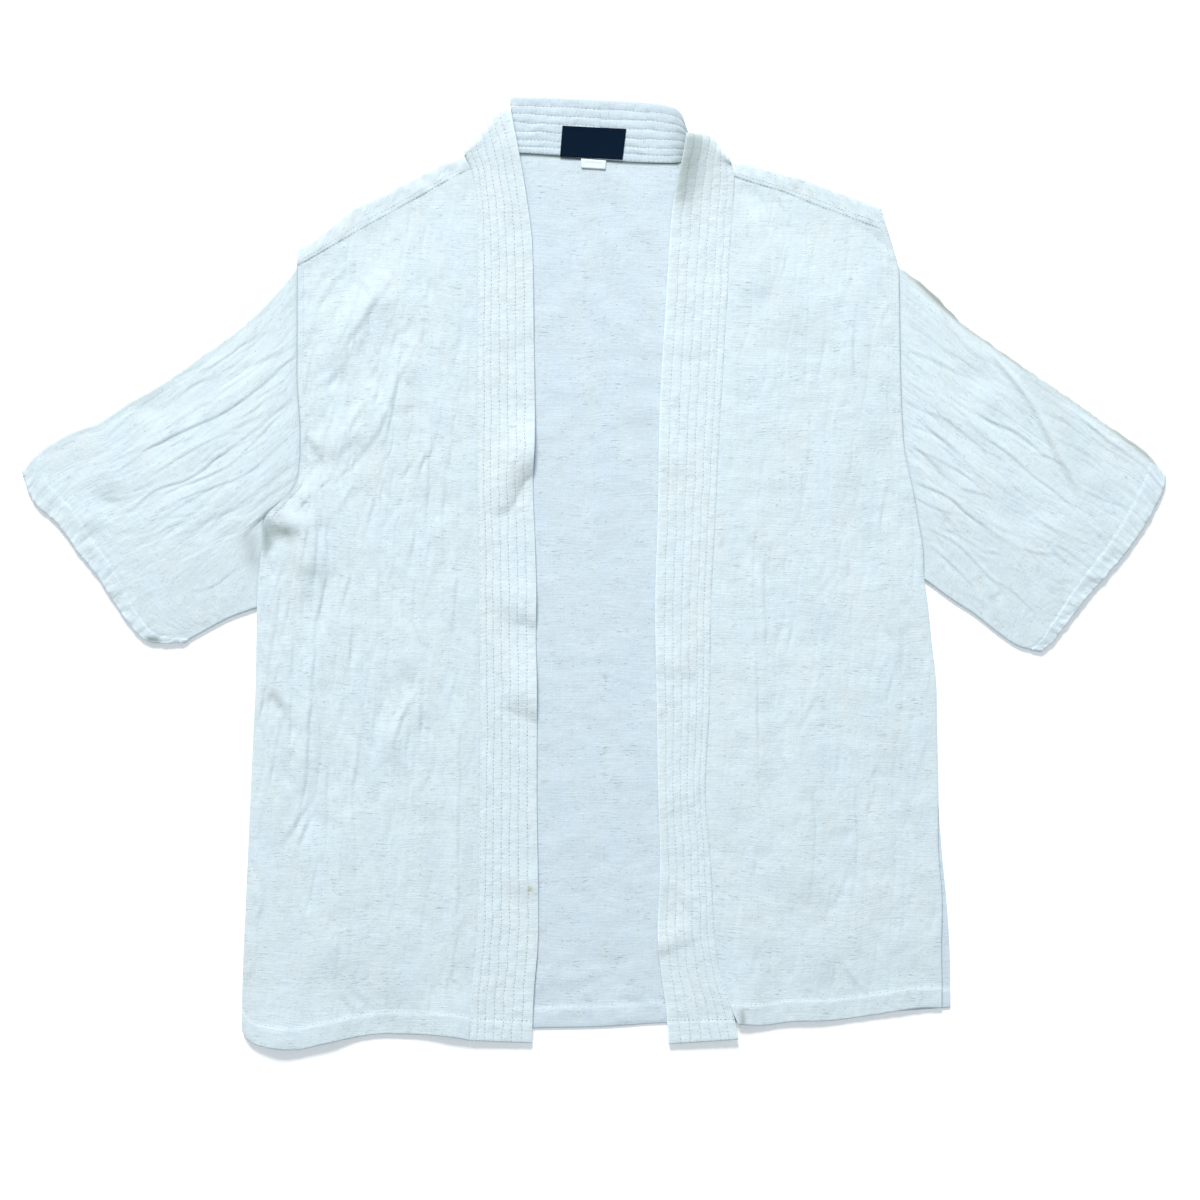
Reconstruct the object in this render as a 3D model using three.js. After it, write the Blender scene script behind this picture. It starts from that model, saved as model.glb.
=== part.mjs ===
// A short kimono of slub cotton and linen, laid flat on its back with the front open.
// Millimetres, +Z up. The cloth rests on z = 0, X runs along the sleeves and Y up to the neck.
// Right and left are the wearer's, so the wearer's right side lies at -X.
import * as THREE from "three";

// ---- driving sizes ----
const CLOTH = 1.2; // wall of one layer of cloth
const GAP = 0.3; // between layers that lie on each other
const SEAM = 0.9; // between edges that are sewn together, seen from above
const HEM_DEPTH = 17.6; // turned-up hem of body and cuffs
const HEM_RISE = 0.6; // how much thicker a hem is
const BACK_MID = CLOTH / 2; // height of the middle of the back panel's wall
const FRONT_MID = 2.7; // the same for the two fronts where they lie on the back
const PILLOW = 2.2; // how far a front or sleeve stands up between its edges
const SHOULDER_ROLL = 1.6; // bend of the back panel over the shoulder
const WRAP_MID = BACK_MID + 2 * SHOULDER_ROLL; // the back panel's strip on the front side
const BAND_WALL = 1.8; // front band: several layers, quilted together
const BAND_RIBS = 7; // ribs between the rows of quilting
const RIB_RISE = 0.5; // height of a rib
const NECK_BAND_MID = BAND_WALL / 2; // the band behind the neck lies on the surface
const LABEL = 1; // wall of the woven label and of the size tab
const SLEEVE_EDGE = 2; // inset at which a sleeve's folded edge reaches full height

// ---- sides of the body, a row for each station from the hem's edge up to the shoulder ----
// Columns: right side x, y, then left side x, y. Rows 0 and 1 are the two edges of the hem.
const SIDES = [
  [-282, -366, 277, -348],
  [-282, -349, 277, -331],
  [-282, -346, 277, -328],
  [-281, -310, 276.5, -301],
  [-279, -267, 277, -262],
  [-277, -221, 274, -220],
  [-275, -175, 274, -175],
  [-273, -131, 273, -129],
  [-271, -87, 272, -83],
  [-270.5, -58, 269, -58],
  [-270, -28, 266, -28],
  [-268.5, -2, 263, -5],
  [-265.5, 26, 262, 19],
  [-264, 43, 258, 43],
  [-251, 57, 254, 66],
  [-240, 69, 250, 84],
  [-236, 91, 247, 100],
  [-236, 121, 245, 130],
  [-238, 152, 244, 160],
  [-238, 183, 243.5, 190],
  [-238, 204, 243, 220],
  [-238, 224, 242, 245],
  [-238, 244, 234, 271],
];
const VENT_BACK_X = [284, 284, 284, 283.5, 281, 277]; // back's left edge, open below the vent
const ARMHOLE_RIGHT = [10, 22]; // first and last row of SIDES round each armhole
const ARMHOLE_LEFT = [11, 21];
const SHOULDER_LEFT_BACK = [229, 291]; // left end of the back's shoulder fold

// ---- outlines, each a list of [x, y] ----
const HEM_RIGHT = [
  [-282, -366], [-275, -375], [-258, -380], [-236, -381], [-222, -378], [-199, -373],
  [-174, -369], [-154, -369], [-130, -370], [-110, -372], [-100.5, -374],
];
const HEM_LEFT = [
  [114.9, -361], [136, -362], [158, -359], [190, -358], [221, -354], [259, -348],
  [277, -348],
];
const HEM_BACK = [
  [-282, -365], [-236, -371], [-156, -366], [-51, -364], [4, -363], [54, -360],
  [132, -359], [212, -353], [284, -348],
];
const SHOULDER_FOLD_RIGHT = [
  [-238, 256], [-208, 278], [-192, 291], [-172, 300], [-139, 317], [-119, 327],
  [-102, 333],
];
const SHOULDER_SEAM_RIGHT = [
  [-238, 244], [-199, 266], [-167, 284], [-137, 301], [-109, 317], [-99.2, 322],
];
const NECKLINE = [
  [-102, 333], [-60, 333.5], [-28, 331.5], [22, 327], [65, 325.5], [108, 327],
];
const SHOULDER_FOLD_LEFT = [
  [108, 327], [118, 327], [139, 321], [164, 315], [182, 308], [229, 291],
];
const SHOULDER_SEAM_LEFT = [
  [112, 315.6], [124, 311], [151, 303], [170, 295], [234, 271],
];
const SLEEVE_RIGHT = {
  side: -1,
  rows: ARMHOLE_RIGHT,
  cuff: [
    [-329, -56], [-354, -56], [-361, -53], [-373, -40], [-386, -21], [-399, -1],
    [-413, 16], [-429, 38], [-449, 57], [-458, 80],
  ],
  lower: [[-292, -36], [-315, -48], [-329, -56]],
  upper: [
    [-250, 228], [-280, 198], [-310, 176], [-344, 152], [-372, 136], [-396, 120],
    [-421, 111], [-446, 94], [-458, 80],
  ],
};
const SLEEVE_LEFT = {
  side: 1,
  rows: ARMHOLE_LEFT,
  cuff: [
    [357, -63], [365, -56], [393, -20], [412, 1], [434, 29], [455, 68], [456, 76],
  ],
  lower: [[286, -22], [303, -33], [322, -48], [339, -59], [357, -63]],
  upper: [
    [271, 222], [292, 200], [318, 181], [348, 160], [378, 140], [410, 117], [438, 98],
    [449, 85], [456, 76],
  ],
};

// ---- front band: stations from the hem up to the shoulder fold, then behind the neck ----
// Columns: free edge x, y, z, then seam edge x, y, z. The heights are those of the wall's middle.
const BAND_RIGHT = {
  front: [
    [-50.4, -376, 3.4, -100, -374, 4.6],
    [-48.8, -336, 3.2, -98.4, -334, 3.6],
    [-45.6, -294, 2.5, -94.4, -294, 3],
    [-46.4, -182, 2.5, -92, -182, 3],
    [-46.4, -122, 3, -91.6, -122, 3],
    [-46.4, -86, 6.5, -91.6, -90, 3.4],
    [-47.2, -54, 3.2, -92, -54, 3],
    [-46.8, -16, 7, -92.4, -16, 3.4],
    [-48, 26, 3, -92.8, 22, 3.2],
    [-49.6, 72, 8, -93.6, 62, 3.2],
    [-48, 106, 3.5, -93.9, 106, 3],
    [-48.8, 186, 3, -93.8, 186, 3],
    [-50.4, 266, 3.2, -93.6, 258, 3.2],
    [-54.4, 298, 4.8, -94.4, 296, 4.4],
    [-60, 334, 6.6, -98.4, 322, 6],
    [-64, 362, 7.4, -102, 332.4, 7.4],
  ],
  fold: { free: [-67.2, 380.4], seam: [-104.8, 338], top: 7.4 },
  neck: [
    [-60, 381, -93.6, 336],
    [-43.2, 380.4, -60, 335],
    [-12, 379.2, -28, 333],
    [3.8, 378.6, 3.8, 330.3],
  ],
};
const BAND_LEFT = {
  front: [
    [58.6, -377, 3.4, 114.4, -373, 4.8],
    [57.1, -352, 3.2, 110.4, -352, 4],
    [52.8, -320, 2.8, 100, -320, 3.2],
    [50, -292, 2.5, 95.8, -292, 3],
    [52, -236, 2.5, 92.8, -236, 3],
    [50.4, -175, 2.6, 88.4, -175, 3.2],
    [49.2, -102, 2.5, 91.6, -102, 3],
    [48, -22, 3.4, 92.8, -22, 3],
    [49.9, 35, 2.6, 95.7, 35, 3],
    [52, 138, 2.6, 100.8, 138, 3],
    [56.8, 218, 2.8, 105.6, 218, 3],
    [59.2, 258, 3.2, 108, 258, 3.2],
    [61.6, 298, 4.8, 110.4, 298, 4.4],
    [65.6, 324, 6.8, 111.2, 315.6, 6],
    [69.6, 346, 8.6, 108.8, 326, 7.6],
  ],
  fold: { free: [70.8, 368], seam: [106.4, 331.6], top: 8.6 },
  neck: [
    [62, 372.4, 90, 328.4],
    [50, 375, 64.8, 327.3],
    [28, 377.2, 32, 328.2],
    [4.2, 378.4, 4.2, 330.2],
  ],
};
const LABEL_CORNERS = [[-28, 332.5], [22, 329.8], [25, 354.4], [-26, 357]];
const TAB_CORNERS = [[-10.6, 323], [9, 321.6], [9.4, 327.4], [-11, 329.6]];

// ---- largest folds: a ridge along x1, y1 to x2, y2 to x3, y3, with its height and width ----
const FOLDS_FRONT_RIGHT = [
  [-164, 238, -190, 205, -214, 160, 4, 11],
  [-150, 190, -156, 150, -186, 95, 3, 9],
  [-172, 150, -190, 118, -212, 92, 3, 9],
  [-230, 77, -229, 35, -235, -20, 3, 10],
  [-221, -37, -226, -94, -231, -175, 3.2, 10],
  [-142, -95, -154, -121, -166, -150, 2, 10],
  [-107, -114, -108, -200, -110, -297, 2, 8],
  [-200, -190, -205, -250, -210, -320, 1.8, 14],
];
const FOLDS_FRONT_LEFT = [
  [128, 60, 131, -60, 134, -220, 1.8, 9],
  [122, 300, 130, 262, 132, 220, 2, 9],
  [200, 240, 206, 150, 196, 40, 1.6, 18],
  [236, 20, 232, -60, 240, -160, 2, 14],
  [160, -60, 166, -150, 160, -260, 1.6, 18],
];
const FOLDS_SLEEVE_RIGHT = [
  [-250, 215, -305, 176, -366, 132, 2.6, 8],
  [-240, 181, -300, 136, -376, 90, 3.6, 7],
  [-240, 156, -296, 112, -384, 56, 3.6, 8],
  [-241, 126, -290, 86, -374, 30, 3.6, 8],
  [-246, 96, -300, 58, -362, 5, 3, 9],
  [-266, 50, -300, 25, -345, -20, 2.6, 10],
];
const FOLDS_SLEEVE_LEFT = [
  [250, 215, 310, 182, 365, 135, 2.4, 9],
  [316, 178, 345, 137, 380, 72, 4, 8],
  [248, 152, 290, 127, 345, 85, 3, 8],
  [250, 112, 300, 88, 360, 36, 3, 9],
  [262, 58, 315, 38, 355, -4, 3, 9],
  [378, 134, 410, 112, 436, 92, 2.4, 7],
];
// Where a hem's edge lifts off the surface: x, height and reach along the hem.
const LIFTS_RIGHT = [[-252, 4.5, 22], [-214, 3, 16], [-112, 2.6, 20]];
const LIFTS_LEFT = [[118, 3, 14], [170, 1.2, 20], [250, 1, 20]];
const LIFT_DEPTH = 36; // how far a lift runs up from the hem

// ---- grid counts ----
const SHOULDER_CELLS = 6;
const NECK_CELLS = 10;
const ROLL_STEPS = 4;
const FRONT_COLUMNS = 18;
const SLEEVE_ROWS = 9;
const STATION_STEPS = 2;

// ---- curves and patches ----
const vec = (x, y, z = 0) => new THREE.Vector3(x, y, z);
const lerp = THREE.MathUtils.lerp;
const smooth = (x, low, high) => THREE.MathUtils.smoothstep(x, low, high);
const range = (n) => Array.from({ length: n + 1 }, (_, i) => i / n);

function curve(points) {
  const line = new THREE.CatmullRomCurve3(points.map(([x, y]) => vec(x, y)), false, "centripetal");
  return (t) => line.getPointAt(THREE.MathUtils.clamp(t, 0, 1));
}

// Straight lines through points, reached at the given knots from 0 to 1.
function through(points, knots) {
  return (t) => {
    const k = knots.findIndex((knot, i) => i > 0 && (t <= knot || i === knots.length - 1));
    const part = THREE.MathUtils.clamp((t - knots[k - 1]) / (knots[k] - knots[k - 1]), 0, 1);
    const [a, b] = [points[k - 1], points[k]];
    return vec(lerp(a[0], b[0], part), lerp(a[1], b[1], part));
  };
}

// How far along a line each of its points lies, from 0 to 1.
function knotsOf(points) {
  const far = [0];
  points.slice(1).forEach(([x, y], i) => {
    far.push(far.at(-1) + Math.hypot(x - points[i][0], y - points[i][1]));
  });
  return far.map((d) => d / far.at(-1));
}

// A surface stretched between four edge curves: west and east run in v, south and north in u.
function coons(west, east, south, north) {
  const [sw, se, nw, ne] = [south(0), south(1), north(0), north(1)];
  return (u, v) => {
    const across = west(v).multiplyScalar(1 - u).addScaledVector(east(v), u);
    const along = south(u).multiplyScalar(1 - v).addScaledVector(north(u), v);
    const flat = sw.clone().multiplyScalar((1 - u) * (1 - v));
    flat.addScaledVector(se, u * (1 - v)).addScaledVector(nw, (1 - u) * v);
    flat.addScaledVector(ne, u * v);
    return across.add(along).sub(flat);
  };
}

// ---- folds ----
// Distance from a point to a line of three points, and how far along it the nearest point is.
function nearest(x, y, [x1, y1, x2, y2, x3, y3]) {
  const pieces = [[x1, y1, x2, y2], [x2, y2, x3, y3]].map(([ax, ay, bx, by], k) => {
    const length2 = (bx - ax) ** 2 + (by - ay) ** 2;
    const along = ((x - ax) * (bx - ax) + (y - ay) * (by - ay)) / length2;
    const t = THREE.MathUtils.clamp(along, 0, 1);
    return { gap: Math.hypot(x - lerp(ax, bx, t), y - lerp(ay, by, t)), at: (k + t) / 2 };
  });
  return pieces[0].gap < pieces[1].gap ? pieces[0] : pieces[1];
}

function foldHeight(x, y, rows) {
  return rows.reduce((sum, row) => {
    const [height, width] = row.slice(6);
    const { gap, at } = nearest(x, y, row);
    return sum + height * Math.exp(-((gap / width) ** 2)) * Math.sin(Math.PI * at) ** 0.6;
  }, 0);
}

function liftHeight(x, fromHem, rows) {
  const depth = Math.exp(-((fromHem / LIFT_DEPTH) ** 2));
  return rows.reduce((sum, [at, height, reach]) => {
    return sum + height * Math.exp(-(((x - at) / reach) ** 2)) * depth;
  }, 0);
}

// ---- walls ----
function normalAt(grid, i, j, ringed) {
  const n = grid.length;
  const pick = (a, b) => {
    const column = grid[ringed ? (a + n) % n : a];
    return (column && column[b]) || grid[i][j];
  };
  const du = pick(i + 1, j).clone().sub(pick(i - 1, j));
  const dv = pick(i, j + 1).clone().sub(pick(i, j - 1));
  return du.cross(dv).normalize();
}

// One closed wall round a grid of points, grid[i][j], with an empty place where there is no cloth.
// over and under give how far the wall reaches to each side of a point.
function wall(grid, over, under, ringed = false) {
  const columns = grid.length;
  const index = new Map();
  const points = [];
  grid.forEach((column, i) => column.forEach((p, j) => {
    if (!p) return;
    const n = normalAt(grid, i, j, ringed);
    index.set(i + "," + j, points.length / 3);
    points.push(...p.clone().addScaledVector(n, over(i, j)));
    points.push(...p.clone().addScaledVector(n, -under(i, j)));
  }));
  const at = (i, j) => index.get((ringed ? (i + columns) % columns : i) + "," + j);
  const has = (i, j) => [[i, j], [i + 1, j], [i + 1, j + 1], [i, j + 1]]
    .every(([a, b]) => at(a, b) !== undefined);
  const faces = [];
  const quad = (a, b, c, d) => faces.push(a, b, c, a, c, d);
  const cells = ringed ? columns : columns - 1;
  const rows = Math.max(...grid.map((column) => column.length)) - 1;
  for (let i = 0; i < cells; i += 1) {
    for (let j = 0; j < rows; j += 1) {
      if (!has(i, j)) continue;
      const ring = [at(i, j), at(i + 1, j), at(i + 1, j + 1), at(i, j + 1)];
      const beyond = [has(i, j - 1), has(i + 1, j), has(i, j + 1), has(i - 1, j)];
      quad(...ring);
      quad(...ring.map((k) => k + 1).reverse());
      beyond.forEach((joined, k) => {
        const [a, b] = [ring[k], ring[(k + 1) % 4]];
        if (!joined) quad(b, a, a + 1, b + 1);
      });
    }
  }
  const geometry = new THREE.BufferGeometry();
  geometry.setAttribute("position", new THREE.Float32BufferAttribute(points, 3));
  geometry.setIndex(faces);
  geometry.computeVertexNormals();
  return geometry;
}

function mesh(name, geometry, color) {
  const material = new THREE.MeshStandardMaterial({ color, roughness: 0.92, metalness: 0 });
  const made = new THREE.Mesh(geometry, material);
  made.name = name;
  return made;
}

// ---- back: up to the shoulder fold, then over it to the forward shoulder seam ----
function shoulderSection(fold, seam) {
  const out = fold.clone().sub(seam).normalize();
  const foot = fold.clone().addScaledVector(out, -SHOULDER_ROLL);
  const turn = range(ROLL_STEPS).slice(1).map((t) => {
    const p = foot.clone().addScaledVector(out, SHOULDER_ROLL * Math.sin(Math.PI * t));
    return p.setZ(BACK_MID + SHOULDER_ROLL * (1 - Math.cos(Math.PI * t)));
  });
  const end = seam.clone().setZ(WRAP_MID);
  return { foot, wrap: [...turn, turn.at(-1).clone().lerp(end, 0.5), end] };
}

const sideRight = SIDES.map(([x, y]) => [x, y]);
const sideLeft = SIDES.map((row) => row.slice(2));
const hemWall = (i, j) => CLOTH / 2 + (j < 2 ? HEM_RISE : 0);
const halfWall = () => CLOTH / 2;

// The forward shoulder seams as the cells of the back divide them.
function seamPoints(points) {
  const line = curve(points);
  return range(SHOULDER_CELLS).map((t) => line(t).toArray());
}

function makeBack() {
  const columns = 2 * SHOULDER_CELLS + NECK_CELLS;
  const rightFold = curve(SHOULDER_FOLD_RIGHT);
  const leftFold = curve(SHOULDER_FOLD_LEFT);
  const [rightSeam, leftSeam] = [SHOULDER_SEAM_RIGHT, SHOULDER_SEAM_LEFT].map(seamPoints);
  const neck = curve(NECKLINE);
  const section = (fold, seam, k) => shoulderSection(fold(k / SHOULDER_CELLS), vec(...seam[k]));
  const sections = range(columns).map((u, i) => {
    const fromLeft = i - SHOULDER_CELLS - NECK_CELLS;
    if (i <= SHOULDER_CELLS) return section(rightFold, rightSeam, i);
    if (fromLeft >= 0) return section(leftFold, leftSeam, fromLeft);
    return { foot: neck((i - SHOULDER_CELLS) / NECK_CELLS), wrap: [] };
  });
  const top = (u) => sections[Math.round(u * columns)].foot.clone();
  const rows = knotsOf(sideRight);
  const vented = sideLeft.map(([x, y], j) => [VENT_BACK_X[j] ?? x, y]);
  const west = through([...sideRight.slice(0, -1), top(0).toArray()], rows);
  const east = through([...vented.slice(0, -1), top(1).toArray()], rows);
  const patch = coons(west, east, curve(HEM_BACK), top);
  const grid = range(columns).map((u, i) => {
    const flat = rows.map((v) => patch(u, v).setZ(BACK_MID));
    return [...flat, ...sections[i].wrap];
  });
  return mesh("back", wall(grid, hemWall, halfWall), 0xd5e4ee);
}

// ---- fronts ----
function frontHeight(p, u, v, length, folds, lifts) {
  const edges = smooth(u, 0, 0.1) * smooth(1 - u, 0, 0.1) * smooth(1 - v, 0, 0.05);
  const pillow = PILLOW * Math.sqrt(4 * u * (1 - u)) * smooth(v, 0, 0.1) * smooth(1 - v, 0, 0.1);
  const rise = (WRAP_MID - FRONT_MID) * Math.exp(-((1 - v) * length) / 30);
  const lift = liftHeight(p.x, v * length, lifts);
  return FRONT_MID + rise + pillow + foldHeight(p.x, p.y, folds) * edges + lift;
}

function makeFront(name, { west, east, south, north, rows, folds, lifts }) {
  const patch = coons(west, east, south, north);
  const length = west(0).distanceTo(west(1));
  const grid = range(FRONT_COLUMNS).map((u) => rows.map((v) => {
    const p = patch(u, v);
    return p.setZ(frontHeight(p, u, v, length, folds, lifts));
  }));
  return mesh(name, wall(grid, hemWall, halfWall), 0xdce9f1);
}

// The front's edge along a band: the band's seam edge, a seam's gap away.
function besideBand(band, away, first, last) {
  const seam = band.front.slice(1, -2).map((row) => [row[3] + away * SEAM, row[4]]);
  return curve([first, ...seam, last]);
}

function makeFronts() {
  const seamTop = (points) => seamPoints(points).map(([x, y]) => [x, y - SEAM]);
  const [topRight, topLeft] = [SHOULDER_SEAM_RIGHT, SHOULDER_SEAM_LEFT].map(seamTop);
  const even = range(SHOULDER_CELLS);
  const edgeRight = [...sideRight.slice(0, -1), topRight[0]];
  const edgeLeft = [...sideLeft.slice(0, -1), topLeft.at(-1)];
  const right = makeFront("front_right", {
    west: through(edgeRight, knotsOf(edgeRight)),
    east: besideBand(BAND_RIGHT, -1, HEM_RIGHT.at(-1), topRight.at(-1)),
    south: curve(HEM_RIGHT),
    north: through(topRight, even),
    rows: knotsOf(edgeRight),
    folds: FOLDS_FRONT_RIGHT,
    lifts: LIFTS_RIGHT,
  });
  const left = makeFront("front_left", {
    west: besideBand(BAND_LEFT, 1, HEM_LEFT[0], topLeft[0]),
    east: through(edgeLeft, knotsOf(edgeLeft)),
    south: curve(HEM_LEFT),
    north: through(topLeft, even),
    rows: knotsOf(edgeLeft),
    folds: FOLDS_FRONT_LEFT,
    lifts: LIFTS_LEFT,
  });
  return [right, left];
}

// ---- sleeves: flattened tubes, open at the armhole and the cuff ----
// Places round a sleeve: how far up from its lower edge, and how high between its two layers.
function sleeveLoop(knots, width) {
  const inset = SLEEVE_EDGE / width;
  const ends = (list) => [inset, ...list.slice(1, -1), 1 - inset];
  const halves = knots.flatMap((t, k) => (k ? [(knots[k - 1] + t) / 2, t] : [t]));
  const top = ends(halves).map((t) => [t, 1]);
  const bottom = ends(knots).reverse().map((t) => [t, 0]);
  return [[0, 0.5], ...top, [1, 0.5], ...bottom];
}

function makeSleeve(name, { side, rows, cuff, lower, upper }, folds) {
  const sides = side < 0 ? sideRight : sideLeft;
  const armhole = sides.slice(rows[0], rows[1] + 1).map(([x, y]) => [x + side * SEAM, y]);
  const knots = knotsOf(armhole);
  const top = curve([armhole.at(-1), ...upper]);
  const patch = coons(through(armhole, knots), curve(cuff), curve([armhole[0], ...lower]), top);
  const length = top(0).distanceTo(top(1));
  const width = Math.hypot(armhole[0][0] - armhole.at(-1)[0], armhole[0][1] - armhole.at(-1)[1]);
  const hem = [1 - (HEM_DEPTH + 3) / length, 1 - HEM_DEPTH / length, 1];
  const along = [...range(SLEEVE_ROWS).map((t) => t * hem[0]), hem[1], hem[2]];
  const loop = sleeveLoop(knots, width);
  if (side > 0) loop.reverse();
  const grid = loop.map(([w, layer]) => along.map((s) => {
    const p = patch(s, w);
    const edges = smooth(w, 0, 0.06) * smooth(1 - w, 0, 0.06);
    const raised = PILLOW * 4 * w * (1 - w) * smooth(s, 0, 0.2);
    const folded = foldHeight(p.x, p.y, folds) * smooth(s, 0, 0.05);
    return p.setZ(lerp(BACK_MID, FRONT_MID + edges * (raised + folded), layer));
  }));
  const hemRow = along.length - 2;
  const over = (i, j) => CLOTH / 2 + (j >= hemRow && loop[i][1] === 1 ? HEM_RISE : 0);
  return mesh(name, wall(grid, over, halfWall, true), 0xdfedf3);
}

// ---- band: a quilted strip from a front hem, over the shoulder fold, to the centre back ----
function bandStations({ front, fold, neck }) {
  const free = front.map((r) => vec(r[0], r[1], r[2]));
  const seam = front.map((r) => vec(r[3], r[4], r[5]));
  const foldFree = vec(...fold.free);
  const foldSeam = vec(...fold.seam);
  const radius = (fold.top - NECK_BAND_MID) / 2;
  const across = foldFree.clone().sub(foldSeam).normalize();
  const out = vec(-across.y, across.x);
  if (out.dot(foldFree.clone().sub(free.at(-1))) < 0) out.negate();
  const roll = range(ROLL_STEPS).map((t) => {
    const shift = radius * (Math.sin(Math.PI * t) - 1);
    const z = NECK_BAND_MID + radius * (1 + Math.cos(Math.PI * t));
    return [foldFree, foldSeam].map((p) => p.clone().addScaledVector(out, shift).setZ(z));
  });
  const line = (points) => new THREE.CatmullRomCurve3(points, false, "centripetal");
  const steps = (front.length - 1) * STATION_STEPS;
  const [freeLine, seamLine] = [line(free), line(seam)];
  const lower = range(steps).map((t) => [freeLine.getPoint(t), seamLine.getPoint(t)]);
  const behind = neck.map(([fx, fy, sx, sy]) => [
    vec(fx, fy, NECK_BAND_MID), vec(sx, sy, NECK_BAND_MID),
  ]);
  return { stations: [...lower, ...roll, ...behind], turned: lower.length + ROLL_STEPS / 2 };
}

function makeBand(name, band, side) {
  const { stations, turned } = bandStations(band);
  const cells = 2 * BAND_RIBS;
  // The free edge faces the middle of the garment, so it is the east edge of the right band.
  const grid = range(cells).map((t) => stations.map(([free, seam]) => {
    return side < 0 ? seam.clone().lerp(free, t) : free.clone().lerp(seam, t);
  }));
  const rib = (i) => (i % 2 ? RIB_RISE : 0);
  const over = (i, j) => BAND_WALL / 2 + (j < turned ? rib(i) : 0);
  const under = (i, j) => BAND_WALL / 2 + (j < turned ? 0 : rib(i));
  return mesh(name, wall(grid, over, under), 0xe4eff6);
}

// ---- label on the band behind the neck, size tab below it on the back ----
function makePatch(name, corners, low, high, color) {
  const [sw, se, ne, nw] = corners.map(([x, y]) => vec(x, y));
  const grid = range(4).map((u) => range(2).map((v) => {
    const p = sw.clone().lerp(se, u).lerp(nw.clone().lerp(ne, u), v);
    return p.setZ((low + high) / 2);
  }));
  const half = () => (high - low) / 2;
  return mesh(name, wall(grid, half, half), color);
}

const kimono = new THREE.Group();
kimono.name = "short_kimono";
kimono.add(
  makeBack(),
  ...makeFronts(),
  makeSleeve("sleeve_right", SLEEVE_RIGHT, FOLDS_SLEEVE_RIGHT),
  makeSleeve("sleeve_left", SLEEVE_LEFT, FOLDS_SLEEVE_LEFT),
  makeBand("band_right", BAND_RIGHT, -1),
  makeBand("band_left", BAND_LEFT, 1),
);
const labelLow = NECK_BAND_MID + BAND_WALL / 2 + RIB_RISE + GAP;
const tabLow = CLOTH + GAP;
kimono.add(
  makePatch("label", LABEL_CORNERS, labelLow, labelLow + LABEL, 0x0e1e30),
  makePatch("size_tab", TAB_CORNERS, tabLow, tabLow + LABEL, 0xe8f2f6),
);

export default kimono;
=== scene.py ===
"""A short kimono of slub cotton and linen, laid flat on its back, front up and open.

The garment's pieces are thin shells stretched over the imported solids: back, two fronts, two
sleeves, a quilted band in two halves, a bare neck label and a size tab. Stitching is modelled
as small threads. Lengths in the tables are millimetres in the frame's own axes, and right and
left are the wearer's, so the wearer's right side lies at -X.
"""

import math

import bpy
import numpy as np
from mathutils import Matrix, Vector


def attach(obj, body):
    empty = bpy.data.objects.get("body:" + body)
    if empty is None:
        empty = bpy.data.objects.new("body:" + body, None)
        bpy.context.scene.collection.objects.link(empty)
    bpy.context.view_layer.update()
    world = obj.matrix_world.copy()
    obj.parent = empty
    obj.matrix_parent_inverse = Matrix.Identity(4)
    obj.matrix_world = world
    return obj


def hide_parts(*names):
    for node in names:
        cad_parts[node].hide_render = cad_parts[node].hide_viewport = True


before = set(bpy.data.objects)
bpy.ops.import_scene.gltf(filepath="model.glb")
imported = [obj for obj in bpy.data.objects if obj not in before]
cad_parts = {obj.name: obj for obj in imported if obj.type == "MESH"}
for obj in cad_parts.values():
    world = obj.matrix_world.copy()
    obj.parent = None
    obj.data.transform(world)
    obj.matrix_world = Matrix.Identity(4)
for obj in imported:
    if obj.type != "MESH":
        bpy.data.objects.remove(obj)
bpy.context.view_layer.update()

MM = 0.001

# ---- driving sizes, mm ----
CLOTH = 1.2  # wall of one layer
BACK_MID = CLOTH / 2
FRONT_MID = 2.7
FRONT_FLOOR = 1.9  # least height of a front's or sleeve's upper layer over the cloth below
PILLOW = 2.2
SEAM = 0.08  # what shows between two sewn edges
HEM_DEPTH = 17.6
HEM_RISE = 0.6
SHOULDER_ROLL = 1.6
WRAP_MID = BACK_MID + 2 * SHOULDER_ROLL
BAND_WALL = 1.8
BAND_FLOOR = 2.15  # least height of the band's middle over the back
NECK_BAND_MID = BAND_WALL / 2
RIB_RISE = 0.5
LIFT_DEPTH = 36
EDGE_ROUND = 1.1  # width over which a free edge thins out
BACK_LENGTH = 700.0
FRONT_LENGTH = 640.0
FRONT_WIDTH = 185.0
SLEEVE_LENGTH = 235.0
SLEEVE_WIDTH = 275.0
BAND_WIDTH = 46.0
TOPSTITCH_INSET = 5.6  # of the stitches beside an armhole
RIMS = (0.2, 0.7)  # how far the thinning at a front's armhole and band edges lies outside them
WRAP_UNSHADED = (1.07, 1.06, 1.02)  # lifts the shoulder wraps out of the back's painted shade, to the fronts' colour
INSIDE_SHADE = (0.15, 0.13, 0.10)  # painted shade on the band's inside, where it turns down at the neck
UPHILL = (-0.21, 0.98)  # creases fold over away from this side
WARMTH = (0.055, 0.004, -0.075)  # how the cloth's warm patches change its colour
SLUB_SHADE = (0.60, 0.60, 0.55)
EDGE_SOIL_AND_SHADE_HUE = (0.85, 0.93, 1.08)
STAIN_HUE = (0.3, 0.5, 1.0)
ARMHOLE_SHADE = {-1: 0.42, 1: 0.2}  # painted shade along the line beside a front's armhole, for each side
YARNS = 7400  # radians of the weave's sine to a metre
SHARP = math.radians(62)  # edges that turn more than this are not smoothed
FINE = 16  # points of a fine line to a step of its table

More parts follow.
